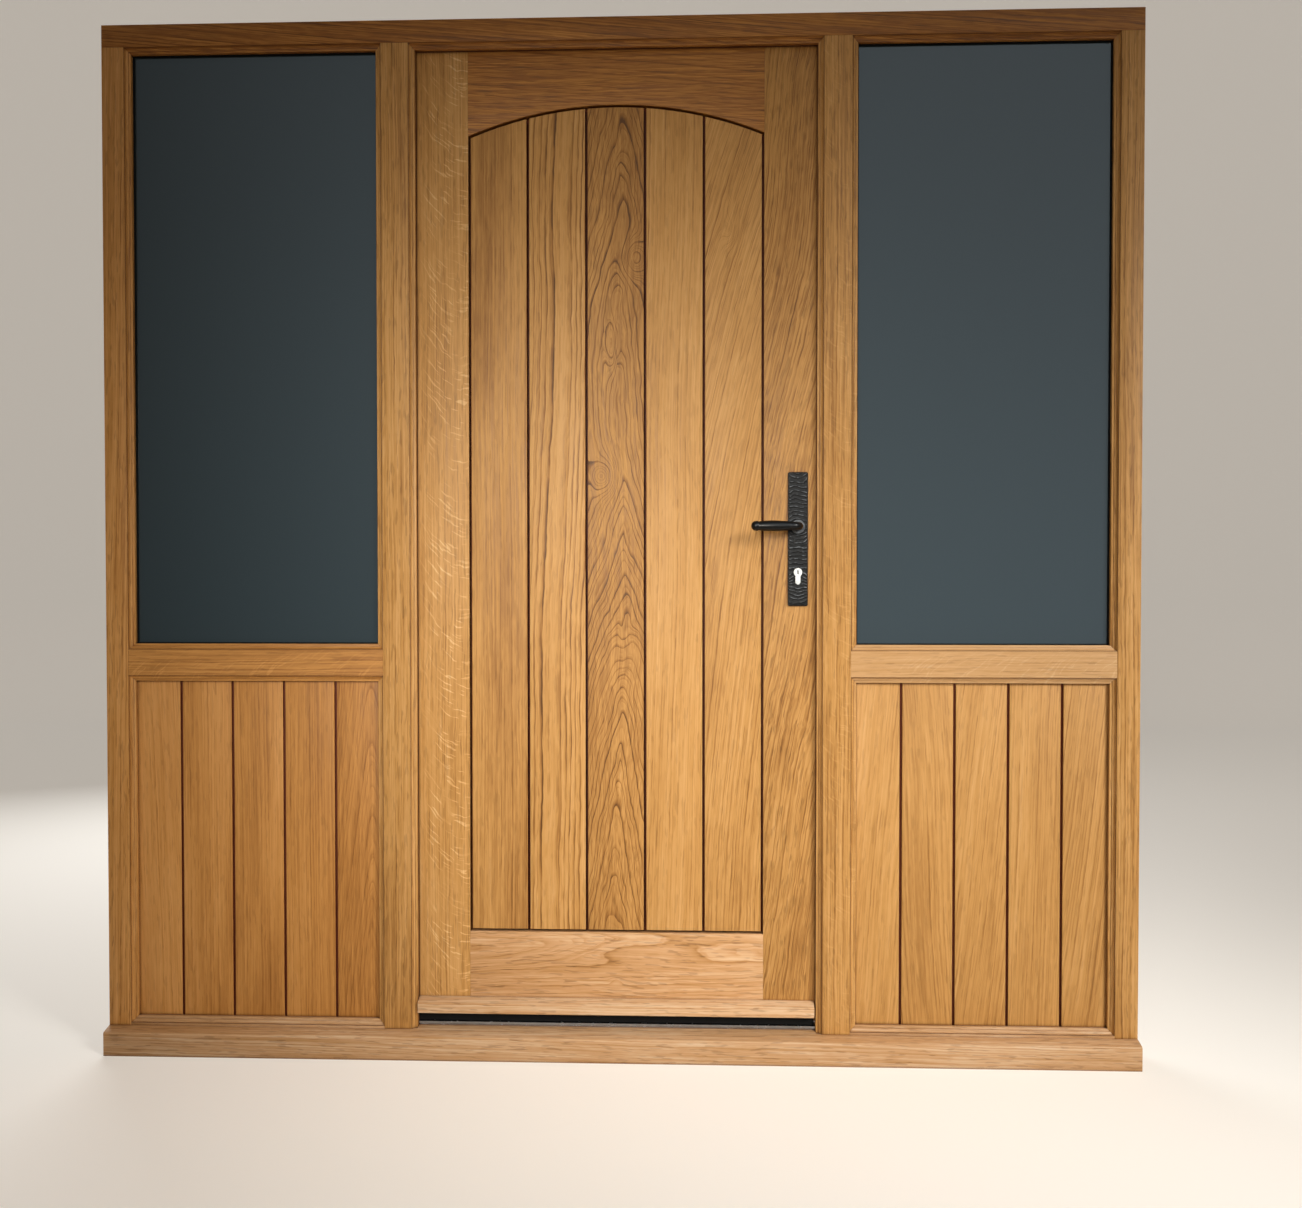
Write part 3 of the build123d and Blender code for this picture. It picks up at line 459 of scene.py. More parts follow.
def oakFigure():
    tree = bpy.data.node_groups.new("oakFigure", "ShaderNodeTree")
    tree.interface.new_socket("place", in_out="INPUT", socket_type="NodeSocketVector")
    for name in ("seed", *figureShape, "bulge", "onEdge"):
        tree.interface.new_socket(name, in_out="INPUT", socket_type="NodeSocketFloat")
    for name in ("lines", "rows", "broad", "streaks", "pores", "fleck"):
        tree.interface.new_socket(name, in_out="OUTPUT", socket_type="NodeSocketFloat")
    given = addNode(tree, "NodeGroupInput").outputs
    seed = addNode(
        tree, "ShaderNodeMath", {"operation": "MULTIPLY"}, {0: given["seed"], 1: oakGrowth["seedStep"]}
    )

    def stretched(place, name):
        cycles, octaves, offset = oakClouds[name]
        scaled = addNode(tree, "ShaderNodeVectorMath", {"operation": "MULTIPLY"}, {0: place, 1: cycles})
        own = addNode(tree, "ShaderNodeMath", {}, {0: seed, 1: offset})
        cloud = addNode(
            tree,
            "ShaderNodeTexNoise",
            {"noise_dimensions": "4D"},
            {
                "Vector": scaled,
                "W": own,
                "Scale": 1.0,
                "Detail": octaves,
                "Roughness": oakGrowth["noiseRoughness"],
            },
        )
        return cloud.outputs

    def darkRows(year, width, broken):  # one dark line a year, each as strong as that year was
        grown = addNode(tree, "ShaderNodeMath", {"operation": "FRACT"}, {0: year})
        share = addNode(tree, "ShaderNodeMath", {"operation": "DIVIDE", "use_clamp": True}, {0: grown, 1: width})
        profile = addNode(tree, "ShaderNodeValToRGB", {}, {0: share})
        ramp = profile.color_ramp
        for position, value in oakGrowth["ringProfile"]:
            ramp.elements.new(position).color = (value, value, value, 1)
        ramp.elements[0].color = (0, 0, 0, 1)
        ramp.elements[-1].color = (0, 0, 0, 1)
        whole = addNode(tree, "ShaderNodeMath", {"operation": "FLOOR"}, {0: year})
        luck = addNode(tree, "ShaderNodeTexWhiteNoise", {"noise_dimensions": "1D"}, {"W": whole})
        strength = (0.0, 1.0, *oakGrowth["yearStrength"])
        strong = addNode(tree, "ShaderNodeMapRange", {}, window(luck.outputs["Value"], strength))
        line = addNode(tree, "ShaderNodeMath", {"operation": "MULTIPLY"}, {0: profile, 1: strong})
        return addNode(tree, "ShaderNodeMath", {"operation": "MULTIPLY"}, {0: line, 1: broken})

    # the trunk's slow bends, smaller swirls round them, and the tremble of a single line
    place = given["place"]
    for bend, reach in (("wander", given["wander"]), ("swirl", given["swirl"]), ("tremble", oakGrowth["tremble"])):
        shift = stretched(place, bend)["Color"]
        shift = addNode(tree, "ShaderNodeVectorMath", {"operation": "SUBTRACT"}, {0: shift, 1: (0.5, 0.5, 0.5)})
        shift = addNode(tree, "ShaderNodeVectorMath", {"operation": "SCALE"}, {0: shift, "Scale": reach})
        place = addNode(tree, "ShaderNodeVectorMath", {}, {0: place, 1: shift}).outputs[0]
    part = addNode(tree, "ShaderNodeSeparateXYZ", inputs={0: place}).outputs

    # the grain leans with the height, but an edge of the board shows it straight
    lean = addNode(
        tree, "ShaderNodeMath", {"operation": "MULTIPLY_ADD"}, {0: part["Z"], 1: given["fan"], 2: given["lean"]}
    )
    lean = addNode(tree, "ShaderNodeMath", {"operation": "MULTIPLY"}, {0: part["Z"], 1: lean})
    onFace = addNode(tree, "ShaderNodeMath", {"operation": "SUBTRACT"}, {0: 1.0, 1: given["onEdge"]})
    lean = addNode(tree, "ShaderNodeMath", {"operation": "MULTIPLY"}, {0: lean, 1: onFace})
    across = addNode(tree, "ShaderNodeMath", {"operation": "SUBTRACT"}, {0: part["X"], 1: lean})
    grainward = addNode(tree, "ShaderNodeCombineXYZ", inputs={0: across, 1: part["Y"], 2: part["Z"]}).outputs[0]

    # year rings: distance from the pith, rising along the tapering trunk, swollen round knots
    off = addNode(tree, "ShaderNodeMath", {"operation": "SUBTRACT"}, {0: across, 1: given["pithAcross"]})
    deep = addNode(tree, "ShaderNodeMath", {}, {0: part["Y"], 1: given["pithDepth"]})
    fromPith = addNode(tree, "ShaderNodeCombineXYZ", inputs={0: off, 1: deep})
    radius = addNode(tree, "ShaderNodeVectorMath", {"operation": "LENGTH"}, {0: fromPith}).outputs["Value"]
    climb = addNode(
        tree, "ShaderNodeMath", {"operation": "MULTIPLY_ADD"}, {0: part["Z"], 1: given["slope"], 2: radius}
    )
    climb = addNode(tree, "ShaderNodeMath", {}, {0: climb, 1: given["bulge"]})
    year = addNode(tree, "ShaderNodeMath", {"operation": "DIVIDE"}, {0: climb, 1: given["ring"]})
    good = addNode(
        tree,
        "ShaderNodeTexNoise",
        {"noise_dimensions": "1D"},
        {"W": year, "Scale": oakGrowth["yearPace"], "Detail": 0.0},
    )
    year = addNode(
        tree,
        "ShaderNodeMath",
        {"operation": "MULTIPLY_ADD"},
        {0: good.outputs[0], 1: oakGrowth["yearSwing"], 2: year},
    )
    broken = stretched(grainward, "broken")[0]  # a line fades and comes back along its way
    broken = addNode(tree, "ShaderNodeMapRange", {}, window(broken, oakWindows["broken"]))
    line = darkRows(year, given["thin"], broken)
    between = addNode(
        tree,
        "ShaderNodeMath",
        {"operation": "MULTIPLY_ADD"},
        {0: year, 1: oakGrowth["rowsPerRing"], 2: oakGrowth["rowStart"]},
    )
    patchy = stretched(grainward, "patchy")[0]
    patchy = addNode(tree, "ShaderNodeMapRange", {}, window(patchy, oakWindows["patchy"]))
    rows = darkRows(between, oakGrowth["rowWidth"], patchy)

    streaks = stretched(grainward, "streaks")[0]
    broad = stretched(grainward, "broad")[0]
    pore = stretched(grainward, "pores")[0]
    pore = addNode(tree, "ShaderNodeMapRange", smooth, window(pore, oakWindows["pores"]))
    crowd = addNode(tree, "ShaderNodeMapRange", {}, window(line, oakWindows["poreCrowd"]))
    pore = addNode(tree, "ShaderNodeMath", {"operation": "MULTIPLY"}, {0: pore, 1: crowd})

    # medullary rays: thin pale strokes that fall across the grain and lie flat at one edge of the board
    side = addNode(tree, "ShaderNodeMath", {"operation": "SUBTRACT"}, {0: given["fleckEdge"], 1: part["X"]})
    curl = addNode(tree, "ShaderNodeMath", {"operation": "MULTIPLY"}, {0: side, 1: side})
    rise = addNode(
        tree,
        "ShaderNodeMath",
        {"operation": "MULTIPLY_ADD"},
        {0: curl, 1: -oakGrowth["fleckCurl"], 2: part["Z"]},
    )
    jitter = stretched(given["place"], "fleckJitter")[0]
    rise = addNode(
        tree, "ShaderNodeMath", {"operation": "MULTIPLY_ADD"}, {0: jitter, 1: oakGrowth["fleckJitter"], 2: rise}
    )
    bent = addNode(tree, "ShaderNodeCombineXYZ", inputs={0: part["X"], 1: part["Y"], 2: rise}).outputs[0]
    stroke = stretched(bent, "fleckStroke")[0]
    stroke = addNode(tree, "ShaderNodeMapRange", smooth, window(stroke, oakWindows["fleckStroke"]))
    patch = stretched(given["place"], "fleckPatch")[0]
    patch = addNode(tree, "ShaderNodeMapRange", {}, window(patch, oakWindows["fleckPatch"]))
    inside = addNode(tree, "ShaderNodeMapRange", smooth, window(side, oakWindows["fleckReach"]))
    stroke = addNode(tree, "ShaderNodeMath", {"operation": "MULTIPLY"}, {0: stroke, 1: patch})
    stroke = addNode(tree, "ShaderNodeMath", {"operation": "MULTIPLY"}, {0: stroke, 1: inside})
    addNode(
        tree,
        "NodeGroupOutput",
        inputs={"lines": line, "rows": rows, "broad": broad, "streaks": streaks, "pores": pore, "fleck": stroke},
    )
    return tree


def oakMaterial(name, look, figure):
    # oiled oak: satin and warm, with dark open pores, and painted shade in its quirks, joints and the gaps between
    # boards
    low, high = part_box(name)
    middle = (low + high) / 2
    material, tree = newMaterial("oiledOak_" + name)
    coordinates = addNode(tree, "ShaderNodeTexCoord").outputs
    if look["along"] == "X":  # the grain runs level, so the pattern is laid on its side
        turned = {"Rotation": (0, math.radians(-90), 0), "Location": (middle.z, -low.y, -middle.x)}
    else:
        turned = {"Rotation": (0, 0, 0), "Location": (-middle.x, -low.y, -middle.z)}
    place = addNode(tree, "ShaderNodeMapping", {}, {"Vector": coordinates["Object"], **turned})
    grain = addNode(tree, "ShaderNodeGroup", {"node_tree": figure}, {"place": place})
    for key in ("seed", *figureShape):
        grain.inputs[key].default_value = look[key]
    facing = addNode(tree, "ShaderNodeSeparateXYZ", inputs={0: coordinates["Normal"]})
    facing = facing.outputs["Z" if look["along"] == "X" else "X"]
    facing = addNode(tree, "ShaderNodeMath", {"operation": "ABSOLUTE"}, {0: facing})
    facing = addNode(tree, "ShaderNodeMapRange", {}, window(facing, oakWindows["onEdge"]))
    tree.links.new(facing.outputs[0], grain.inputs["onEdge"])
    bulge = None
    for across, along, halfWidth, halfLength, height in look["knots"]:
        near = addNode(
            tree,
            "ShaderNodeMapping",
            {"vector_type": "TEXTURE"},
            {"Vector": place, "Location": (across, 0, along), "Scale": (halfWidth, 1.0, halfLength)},
        )
        near = addNode(tree, "ShaderNodeVectorMath", {"operation": "DOT_PRODUCT"}, {0: near, 1: near})
        near = addNode(tree, "ShaderNodeMath", {"operation": "MULTIPLY"}, {0: near.outputs["Value"], 1: -1.0})
        near = addNode(tree, "ShaderNodeMath", {"operation": "EXPONENT"}, {0: near})
        bulge = addNode(
            tree, "ShaderNodeMath", {"operation": "MULTIPLY_ADD"}, {0: near, 1: height, 2: bulge or 0.0}
        )
    if bulge:
        tree.links.new(bulge.outputs[0], grain.inputs["bulge"])
    grain = grain.outputs

    # one lightness from 0 to 1, then the oak's own shades along it
    light = addNode(tree, "ShaderNodeMapRange", {}, window(grain["broad"], oakWindows["broad"]))
    light = addNode(
        tree, "ShaderNodeMath", {"operation": "MULTIPLY_ADD"}, {0: light, 1: look["broad"], 2: look["tone"]}
    )
    fine = addNode(tree, "ShaderNodeMath", {"operation": "SUBTRACT"}, {0: grain["streaks"], 1: 0.5})
    for layer, amount in (
        (fine, oakFinish["streakPull"] * look["streaks"]),
        (grain["lines"], -look["lines"]),
        (grain["rows"], -look["rows"]),
        (grain["fleck"], oakFinish["fleckPull"] * look["fleck"]),
    ):
        light = addNode(tree, "ShaderNodeMath", {"operation": "MULTIPLY_ADD"}, {0: layer, 1: amount, 2: light})
    shades = addNode(tree, "ShaderNodeValToRGB", {}, {0: light})
    ramp = shades.color_ramp
    for position, shade in oakFinish["shades"][1:-1]:
        ramp.elements.new(position).color = linear(shade)
    ramp.elements[0].color = linear(oakFinish["shades"][0][1])
    ramp.elements[-1].color = linear(oakFinish["shades"][-1][1])
    amount = addNode(tree, "ShaderNodeMath", {"operation": "MULTIPLY"}, {0: grain["pores"], 1: look["pores"]})
    colour = addNode(
        tree, "ShaderNodeMix", mixColours, {0: amount, colourA: shades, colourB: linear(oakFinish["pore"])}
    )
    # the member's painted cast of light and shade
    colour = addNode(
        tree,
        "ShaderNodeMix",
        {**mixColours, "blend_type": "MULTIPLY"},
        {0: 1.0, colourA: colour.outputs[mixed], colourB: linear(look["paintedLightTint"])},
    )

    darkened = []  # painted shade: how far the colour goes to a darker one, and to which
    if look["paintedGrooveShade"]:  # painted shade in the gaps between boards, darker with depth
        inward = addNode(tree, "ShaderNodeSeparateXYZ", inputs={0: place}).outputs["Y"]
        halfDepth = (high.y - low.y) / 2
        inward = addNode(tree, "ShaderNodeMath", {"operation": "PINGPONG"}, {0: inward, 1: halfDepth})
        grooveShadeWindow = (look["paintedGrooveShade"], look["paintedGrooveShade"] + oakFinish["grooveFade"], 0.0, oakFinish["grooveShade"])
        darkened.append((addNode(tree, "ShaderNodeMapRange", smooth, window(inward, grooveShadeWindow)), "paintedGrooveShade"))
    for axis in look["joints"]:  # oil in the joint, and painted shade, gather where one member meets the next
        half = (high[axis] - low[axis]) / 2
        fromMiddle = addNode(tree, "ShaderNodeSeparateXYZ", inputs={0: coordinates["Object"]}).outputs[axis]
        fromMiddle = addNode(tree, "ShaderNodeMath", {"operation": "SUBTRACT"}, {0: fromMiddle, 1: middle[axis]})
        fromMiddle = addNode(tree, "ShaderNodeMath", {"operation": "ABSOLUTE"}, {0: fromMiddle})
        fade = (*(half - distance for distance in oakFinish["jointFade"]), 0.0, oakFinish["jointShade"])
        darkened.append((addNode(tree, "ShaderNodeMapRange", smooth, window(fromMiddle, fade)), "joint"))
    # painted shade in quirks and corners, from how open each place is
    openness = addNode(
        tree,
        "ShaderNodeAmbientOcclusion",
        {"samples": oakFinish["creviceSamples"]},
        {"Distance": oakFinish["creviceReach"]},
    ).outputs["AO"]
    crevice = (*oakFinish["creviceOpen"], oakFinish["creviceShade"], 0.0)
    darkened.append((addNode(tree, "ShaderNodeMapRange", {}, window(openness, crevice)), "joint"))
    for amount, kind in darkened:
        colour = addNode(
            tree,
            "ShaderNodeMix",
            mixColours,
            {0: amount, colourA: colour.outputs[mixed], colourB: linear(oakFinish[kind])},
        )

    dullness = [oakFinish["roughness"] + change for change in oakFinish["roughnessSpread"]]
    rough = addNode(tree, "ShaderNodeMapRange", {}, window(grain["streaks"], (*oakFinish["streakRange"], *dullness)))
    relief = addNode(
        tree,
        "ShaderNodeBump",
        {"invert": True},
        {"Height": grain["pores"], "Distance": oakFinish["poreDepth"], "Strength": oakFinish["poreRelief"]},
    )
    shader = addNode(
        tree,
        "ShaderNodeBsdfPrincipled",
        inputs={
            "Base Color": colour.outputs[mixed],
            "Roughness": rough,
            "Specular IOR Level": oakFinish["specular"],
            "Normal": relief,
        },
    )
    addNode(tree, "ShaderNodeOutputMaterial", inputs={"Surface": shader})
    return material


# Timber with every arris eased, as the workshop leaves it
arris = {
    "radius": 0.0006,
    "segments": 2,
    "sharperThan": 35.0,  # degrees between two faces
    "longerThan": 0.0024,
    "flatWithin": 0.4,  # degrees
    "mergeWithin": 0.00001,
    "shadeAngle": 25.0,
}


def freshCopy(name, newName):
    piece = bpy.data.objects.new(newName, nodes[name].data.copy())
    piece.data.name = newName
    bpy.context.scene.collection.objects.link(piece)
    pick(piece)
    return piece


def standIn(piece, name):
    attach(piece, bodyOf[name])
    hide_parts(name)


def easedTimber(name):
    piece = freshCopy(name, "eased_" + name)
    bpy.ops.mesh.customdata_custom_splitnormals_clear()
    bpy.ops.object.mode_set(mode="EDIT")
    bpy.ops.mesh.select_all(action="SELECT")
    bpy.ops.mesh.remove_doubles(threshold=arris["mergeWithin"])
    bpy.ops.mesh.dissolve_limited(angle_limit=math.radians(arris["flatWithin"]))
    bpy.ops.mesh.select_mode(type="EDGE")
    bpy.ops.mesh.select_all(action="DESELECT")
    mesh = bmesh.from_edit_mesh(piece.data)
    for edge in mesh.edges:
        sharp = edge.is_manifold and edge.calc_face_angle_signed() > math.radians(arris["sharperThan"])
        edge.select = sharp and edge.calc_length() > arris["longerThan"]
    bmesh.update_edit_mesh(piece.data)
    bpy.ops.mesh.bevel(offset=arris["radius"], segments=arris["segments"], clamp_overlap=True)
    bpy.ops.object.mode_set(mode="OBJECT")
    bpy.ops.object.shade_smooth_by_angle(angle=math.radians(arris["shadeAngle"]))
    standIn(piece, name)
    return piece


figure = oakFigure()
for name, own in {**frameOak, **leafOak, **panelOak}.items():
    dress(easedTimber(name), oakMaterial(name, oakLook(name, own), figure))
print("oak laid")


# Plain finishes of the other nodes. "grit" is the surface's own grain in cycles per metre along X, Y and Z: even
# on rubber and iron, drawn out along the way that a metal was brushed or rolled. "depth" is that grain's depth.
plainLooks = {
    # extruded rubber: matt and lightless
    "black_seal": {"name": "blackSealRubber", "colour": "#070707", "roughness": 0.7, "specular": 0.15},
    # folded aluminium strip: a dull, pale grey
    "spacer_metal": {
        "name": "spacerAluminium", "colour": "#B9BBBC", "roughness": 0.4, "metallic": 1.0,
        "grit": (60, 900, 900), "depth": 0.00001,
    },
    # extruded aluminium, left bare: a bright streak that runs along it, on a grey darkened as a painted dark
    # reflection
    "threshold_metal": {
        "name": "millAluminium", "colour": "#9A9DA2", "roughness": 0.25, "metallic": 1.0,
        "grit": (30, 1400, 1400), "depth": 0.00001,
    },
    # forged iron, waxed black: near black, with a soft highlight and a faintly uneven skin
    "black_iron": {
        "name": "blackIron", "colour": "#08090A", "roughness": 0.32, "specular": 0.32,
        "grit": (420, 420, 420), "depth": 0.00005,
    },
    # nickel plate on brass: a warm white gleam
    "nickel": {
        "name": "brightNickel", "colour": "#DCD8D2", "roughness": 0.25, "metallic": 1.0,
        "grit": (1400, 1400, 200), "depth": 0.000005,
    },
    # stainless steel, brushed upright: a satin grey, a little paler on the hinges
    "lock_steel": {
        "name": "satinSteel", "colour": "#A9ABAD", "roughness": 0.35, "metallic": 1.0,
        "grit": (1400, 1400, 60), "depth": 0.00001,
    },
    "hinge_steel": {
        "name": "satinSteelHinge", "colour": "#B2B3B4", "roughness": 0.35, "metallic": 1.0,
        "grit": (1400, 1400, 60), "depth": 0.00001,
    },
}
brownSeal = {"name": "brownSealRubber", "colour": "#4A2814", "roughness": 0.6, "specular": 0.2}  # brown, half matt, dark as the painted shade of the oak in the leaf's gap
plainCloud = {
    "scale": 60.0,  # cycles per metre of the slow change in shade and gloss
    "octaves": 3.0,
    "gritOctaves": 2.0,
    "roughnessSpread": (-0.05, 0.07),
    "shades": (0.3, 0.7, 0.88, 1.12),  # from, to, and how far the colour is scaled at each
}


def plainFinish(name, colour, roughness, metallic=0.0, specular=0.5, grit=(900, 900, 900), depth=0.00002):
    material, tree = newMaterial(name)
    place = addNode(tree, "ShaderNodeTexCoord").outputs["Object"]
    cloud = addNode(
        tree,
        "ShaderNodeTexNoise",
        {},
        {"Vector": place, "Scale": plainCloud["scale"], "Detail": plainCloud["octaves"]},
    ).outputs[0]
    spread = (0.0, 1.0, *(roughness + change for change in plainCloud["roughnessSpread"]))
    rough = addNode(tree, "ShaderNodeMapRange", {}, window(cloud, spread))
    shade = addNode(tree, "ShaderNodeMapRange", {}, window(cloud, plainCloud["shades"]))
    tone = addNode(tree, "ShaderNodeVectorMath", {"operation": "SCALE"}, {0: linear(colour)[:3], "Scale": shade})
    fine = addNode(tree, "ShaderNodeVectorMath", {"operation": "MULTIPLY"}, {0: place, 1: grit})
    fine = addNode(
        tree, "ShaderNodeTexNoise", {}, {"Vector": fine, "Scale": 1.0, "Detail": plainCloud["gritOctaves"]}
    )
    relief = addNode(tree, "ShaderNodeBump", {}, {"Height": fine, "Distance": depth})
    shader = addNode(
        tree,
        "ShaderNodeBsdfPrincipled",
        inputs={
            "Base Color": tone,
            "Roughness": rough,
            "Metallic": metallic,
            "Specular IOR Level": specular,
            "Normal": relief,
        },
    )
    addNode(tree, "ShaderNodeOutputMaterial", inputs={"Surface": shader})
    return material


glassLook = {"colour": "#303E45", "roughness": 0.06, "clear": 0.25, "ior": 1.5}


def glassMaterial():
    # sealed units of float glass, not lit from behind: dark grey as painted shade, a little see-through, with a cool
    # sheen
    material, tree = newMaterial("glassPaintedDark")
    shader = addNode(
        tree,
        "ShaderNodeBsdfPrincipled",
        inputs={
            "Base Color": linear(glassLook["colour"]),
            "Roughness": glassLook["roughness"],
            "Transmission Weight": glassLook["clear"],
            "IOR": glassLook["ior"],
        },
    )
    addNode(tree, "ShaderNodeOutputMaterial", inputs={"Surface": shader})
    return material


finishes = {slot: plainFinish(**look) for slot, look in plainLooks.items()}
finishes["glass"] = glassMaterial()
for name, piece in nodes.items():
    if slotOf[name] in finishes:
        dress(piece, finishes[slotOf[name]])
dress(nodes["door_seal"], plainFinish(**brownSeal))
print("metals, glass and seals dressed")


# Hammered faces of the two backplates: low ridges beaten round the lever's boss
hammeredFace = {
    "middle": (0.3685, 1.055),
    "size": (0.0372, 0.2672),
    "cell": 0.0008,
    "thickness": 0.0005,
    "outerFront": 0.016,  # the outer backplate's face
    "doorMiddle": 0.048,  # the inner face is mirrored through this
    "smoothEdge": 0.0014,
    "bossHeight": 1.080,
    "bossRadius": 0.0143,
    "keyHeight": 0.988,
    "keyRadius": 0.0092,
    "keyLeg": (0.0054, 0.0252),  # half width, and reach below the round hole
    "keyFootRound": 0.12,
    "cutterSides": 62,
    "cutterDepth": 0.02,
    "gapSides": 8,  # a gap left by a cut has at most so many edges
    "shadeAngle": 50.0,
}
beating = {
    "height": 0.0012,
    "spacing": 0.0082,
    "sharpness": 3.0,
    "bend": 19.6,  # per metre: how fast a ridge curves round the boss
    "evenReach": 0.035,  # further from the boss each ridge bends its own way
    "ownBend": 2.4,
    "drag": 0.25,
    "drift": (2.0, 24.0, 5.0),  # a slow change up the plate: place across, cycles per metre, layer
    "uneven": (0.0042, (60.0, 36.0, 1.0)),  # amount, then cycles per metre across and up, and a layer
    "weight": 0.65,
    "weightChange": (0.7, (90.0, 60.0, 9.0)),
    "dents": (0.3, (260.0, 260.0, 3.0)),
    "ground": 0.15,  # even a hollow stands a little proud
}
waxedIron = {
    "hollow": "#08090A",
    # the crests' grey: wax rubbed off, and a painted highlight
    "rubbedAndHighlit": "#8A9198",
    "crestFrom": 0.0005,  # above the plate's flat face
    "crestTo": 0.0013,
    "grit": 260.0,  # cycles per metre
    "gritOctaves": 2.0,
    "roughness": 0.42,
    "specular": 0.22,
}


def forgedMaterial():
    # wrought iron, black waxed: matt in the hollows, rubbed to grey on the crests, a grey that also paints their
    # highlight
    material, tree = newMaterial("blackWaxedIron")
    place = addNode(tree, "ShaderNodeTexCoord").outputs["Object"]
    depth = addNode(tree, "ShaderNodeSeparateXYZ", inputs={0: place}).outputs["Y"]
    proud = addNode(tree, "ShaderNodeMath", {"operation": "SUBTRACT"}, {0: depth, 1: hammeredFace["doorMiddle"]})
    proud = addNode(tree, "ShaderNodeMath", {"operation": "ABSOLUTE"}, {0: proud})
    flat = hammeredFace["doorMiddle"] - hammeredFace["outerFront"] + hammeredFace["thickness"]
    grit = addNode(
        tree,
        "ShaderNodeTexNoise",
        {},
        {"Vector": place, "Scale": waxedIron["grit"], "Detail": waxedIron["gritOctaves"]},
    )
    crests = (flat + waxedIron["crestFrom"], flat + waxedIron["crestTo"], 0.0, 1.0)
    # painted highlight, and rubbed wax, on the crests
    rubbedAndHighlit = addNode(tree, "ShaderNodeMapRange", smooth, window(proud, crests))
    rubbedAndHighlit = addNode(tree, "ShaderNodeMath", {"operation": "MULTIPLY"}, {0: rubbedAndHighlit, 1: grit})
    colour = addNode(
        tree,
        "ShaderNodeMix",
        mixColours,
        {0: rubbedAndHighlit, colourA: linear(waxedIron["hollow"]), colourB: linear(waxedIron["rubbedAndHighlit"])},
    )
    shader = addNode(
        tree,
        "ShaderNodeBsdfPrincipled",
        inputs={
            "Base Color": colour.outputs[mixed],
            "Roughness": waxedIron["roughness"],
            "Specular IOR Level": waxedIron["specular"],
        },
    )
    addNode(tree, "ShaderNodeOutputMaterial", inputs={"Surface": shader})
    return material


# one layer of noise over the plate
def beaten(x, z, kind):
    amount, (cyclesAcross, cyclesUp, layer) = beating[kind]
    return amount * noise.noise(Vector((x * cyclesAcross, z * cyclesUp, layer)))


# how far the face stands out at a place
def ridge(x, z):
    face = hammeredFace
    centreX, centreZ = face["middle"]
    fromBoss = z - face["bossHeight"]
    across = x - centreX
    driftAcross, driftCycles, driftLayer = beating["drift"]
    slow = noise.noise(Vector((driftAcross, z * driftCycles, driftLayer)))
    bend = beating["bend"] * (1.0 if abs(fromBoss) < beating["evenReach"] else beating["ownBend"] * slow)
    way = abs(fromBoss) + bend * across * across + beating["drag"] * slow * abs(across) + beaten(x, z, "uneven")
    crest = (0.5 + 0.5 * math.cos(2 * math.pi * way / beating["spacing"])) ** beating["sharpness"]
    weight = beating["weight"] + beaten(x, z, "weightChange")
    inside = min(face["size"][0] / 2 - abs(across), face["size"][1] / 2 - abs(z - centreZ))
    inside = min(inside, math.hypot(across, fromBoss) - face["bossRadius"])
    inside = min(inside, math.hypot(across, z - face["keyHeight"]) - face["keyRadius"])
    if z < face["keyHeight"]:
        inside = min(inside, max(abs(across) - face["keyLeg"][0], face["keyHeight"] - face["keyLeg"][1] - z))
    fade = min(1.0, max(0.0, inside / face["smoothEdge"]))
    return beating["height"] * fade * max(0.0, crest * weight + beaten(x, z, "dents") + beating["ground"])


# an upright grid that is given a thickness along Y
def thickGrid(name, columns, rows, size, place, step):
    bpy.ops.object.select_all(action="DESELECT")
    bpy.ops.mesh.primitive_grid_add(x_subdivisions=columns, y_subdivisions=rows, size=1)
    piece = bpy.context.object
    piece.name = piece.data.name = name
    piece.scale = (*size, 1)
    piece.rotation_euler = upright
    piece.location = place
    applyPlace()
    bpy.ops.object.mode_set(mode="EDIT")
    bpy.ops.mesh.select_all(action="SELECT")
    bpy.ops.mesh.extrude_region_move(TRANSFORM_OT_translate={"value": (0, step, 0)})
    bpy.ops.object.mode_set(mode="OBJECT")
    turnFacesOutwards()
    return piece


def hammeredSkin():
    face = hammeredFace
    width, height = face["size"]
    centreX, centreZ = face["middle"]
    columns = round(width / face["cell"])
    rows = round(height / face["cell"])
    front = face["outerFront"] - face["thickness"]
    place = (centreX, front, centreZ)
    skin = thickGrid("hammered_face_outer", columns, rows, face["size"], place, face["thickness"])
    for vertex in skin.data.vertices:
        if vertex.co.y < front + face["thickness"] / 2:
            vertex.co.y -= ridge(vertex.co.x, vertex.co.z)
    return skin


def cutAway(piece, cutter):
    cut = piece.modifiers.new("cut", "BOOLEAN")
    cut.operation = "DIFFERENCE"
    cut.solver = "EXACT"
    cut.object = cutter
    pick(piece)
    bpy.ops.object.modifier_apply(modifier="cut")
    bpy.data.objects.remove(cutter)


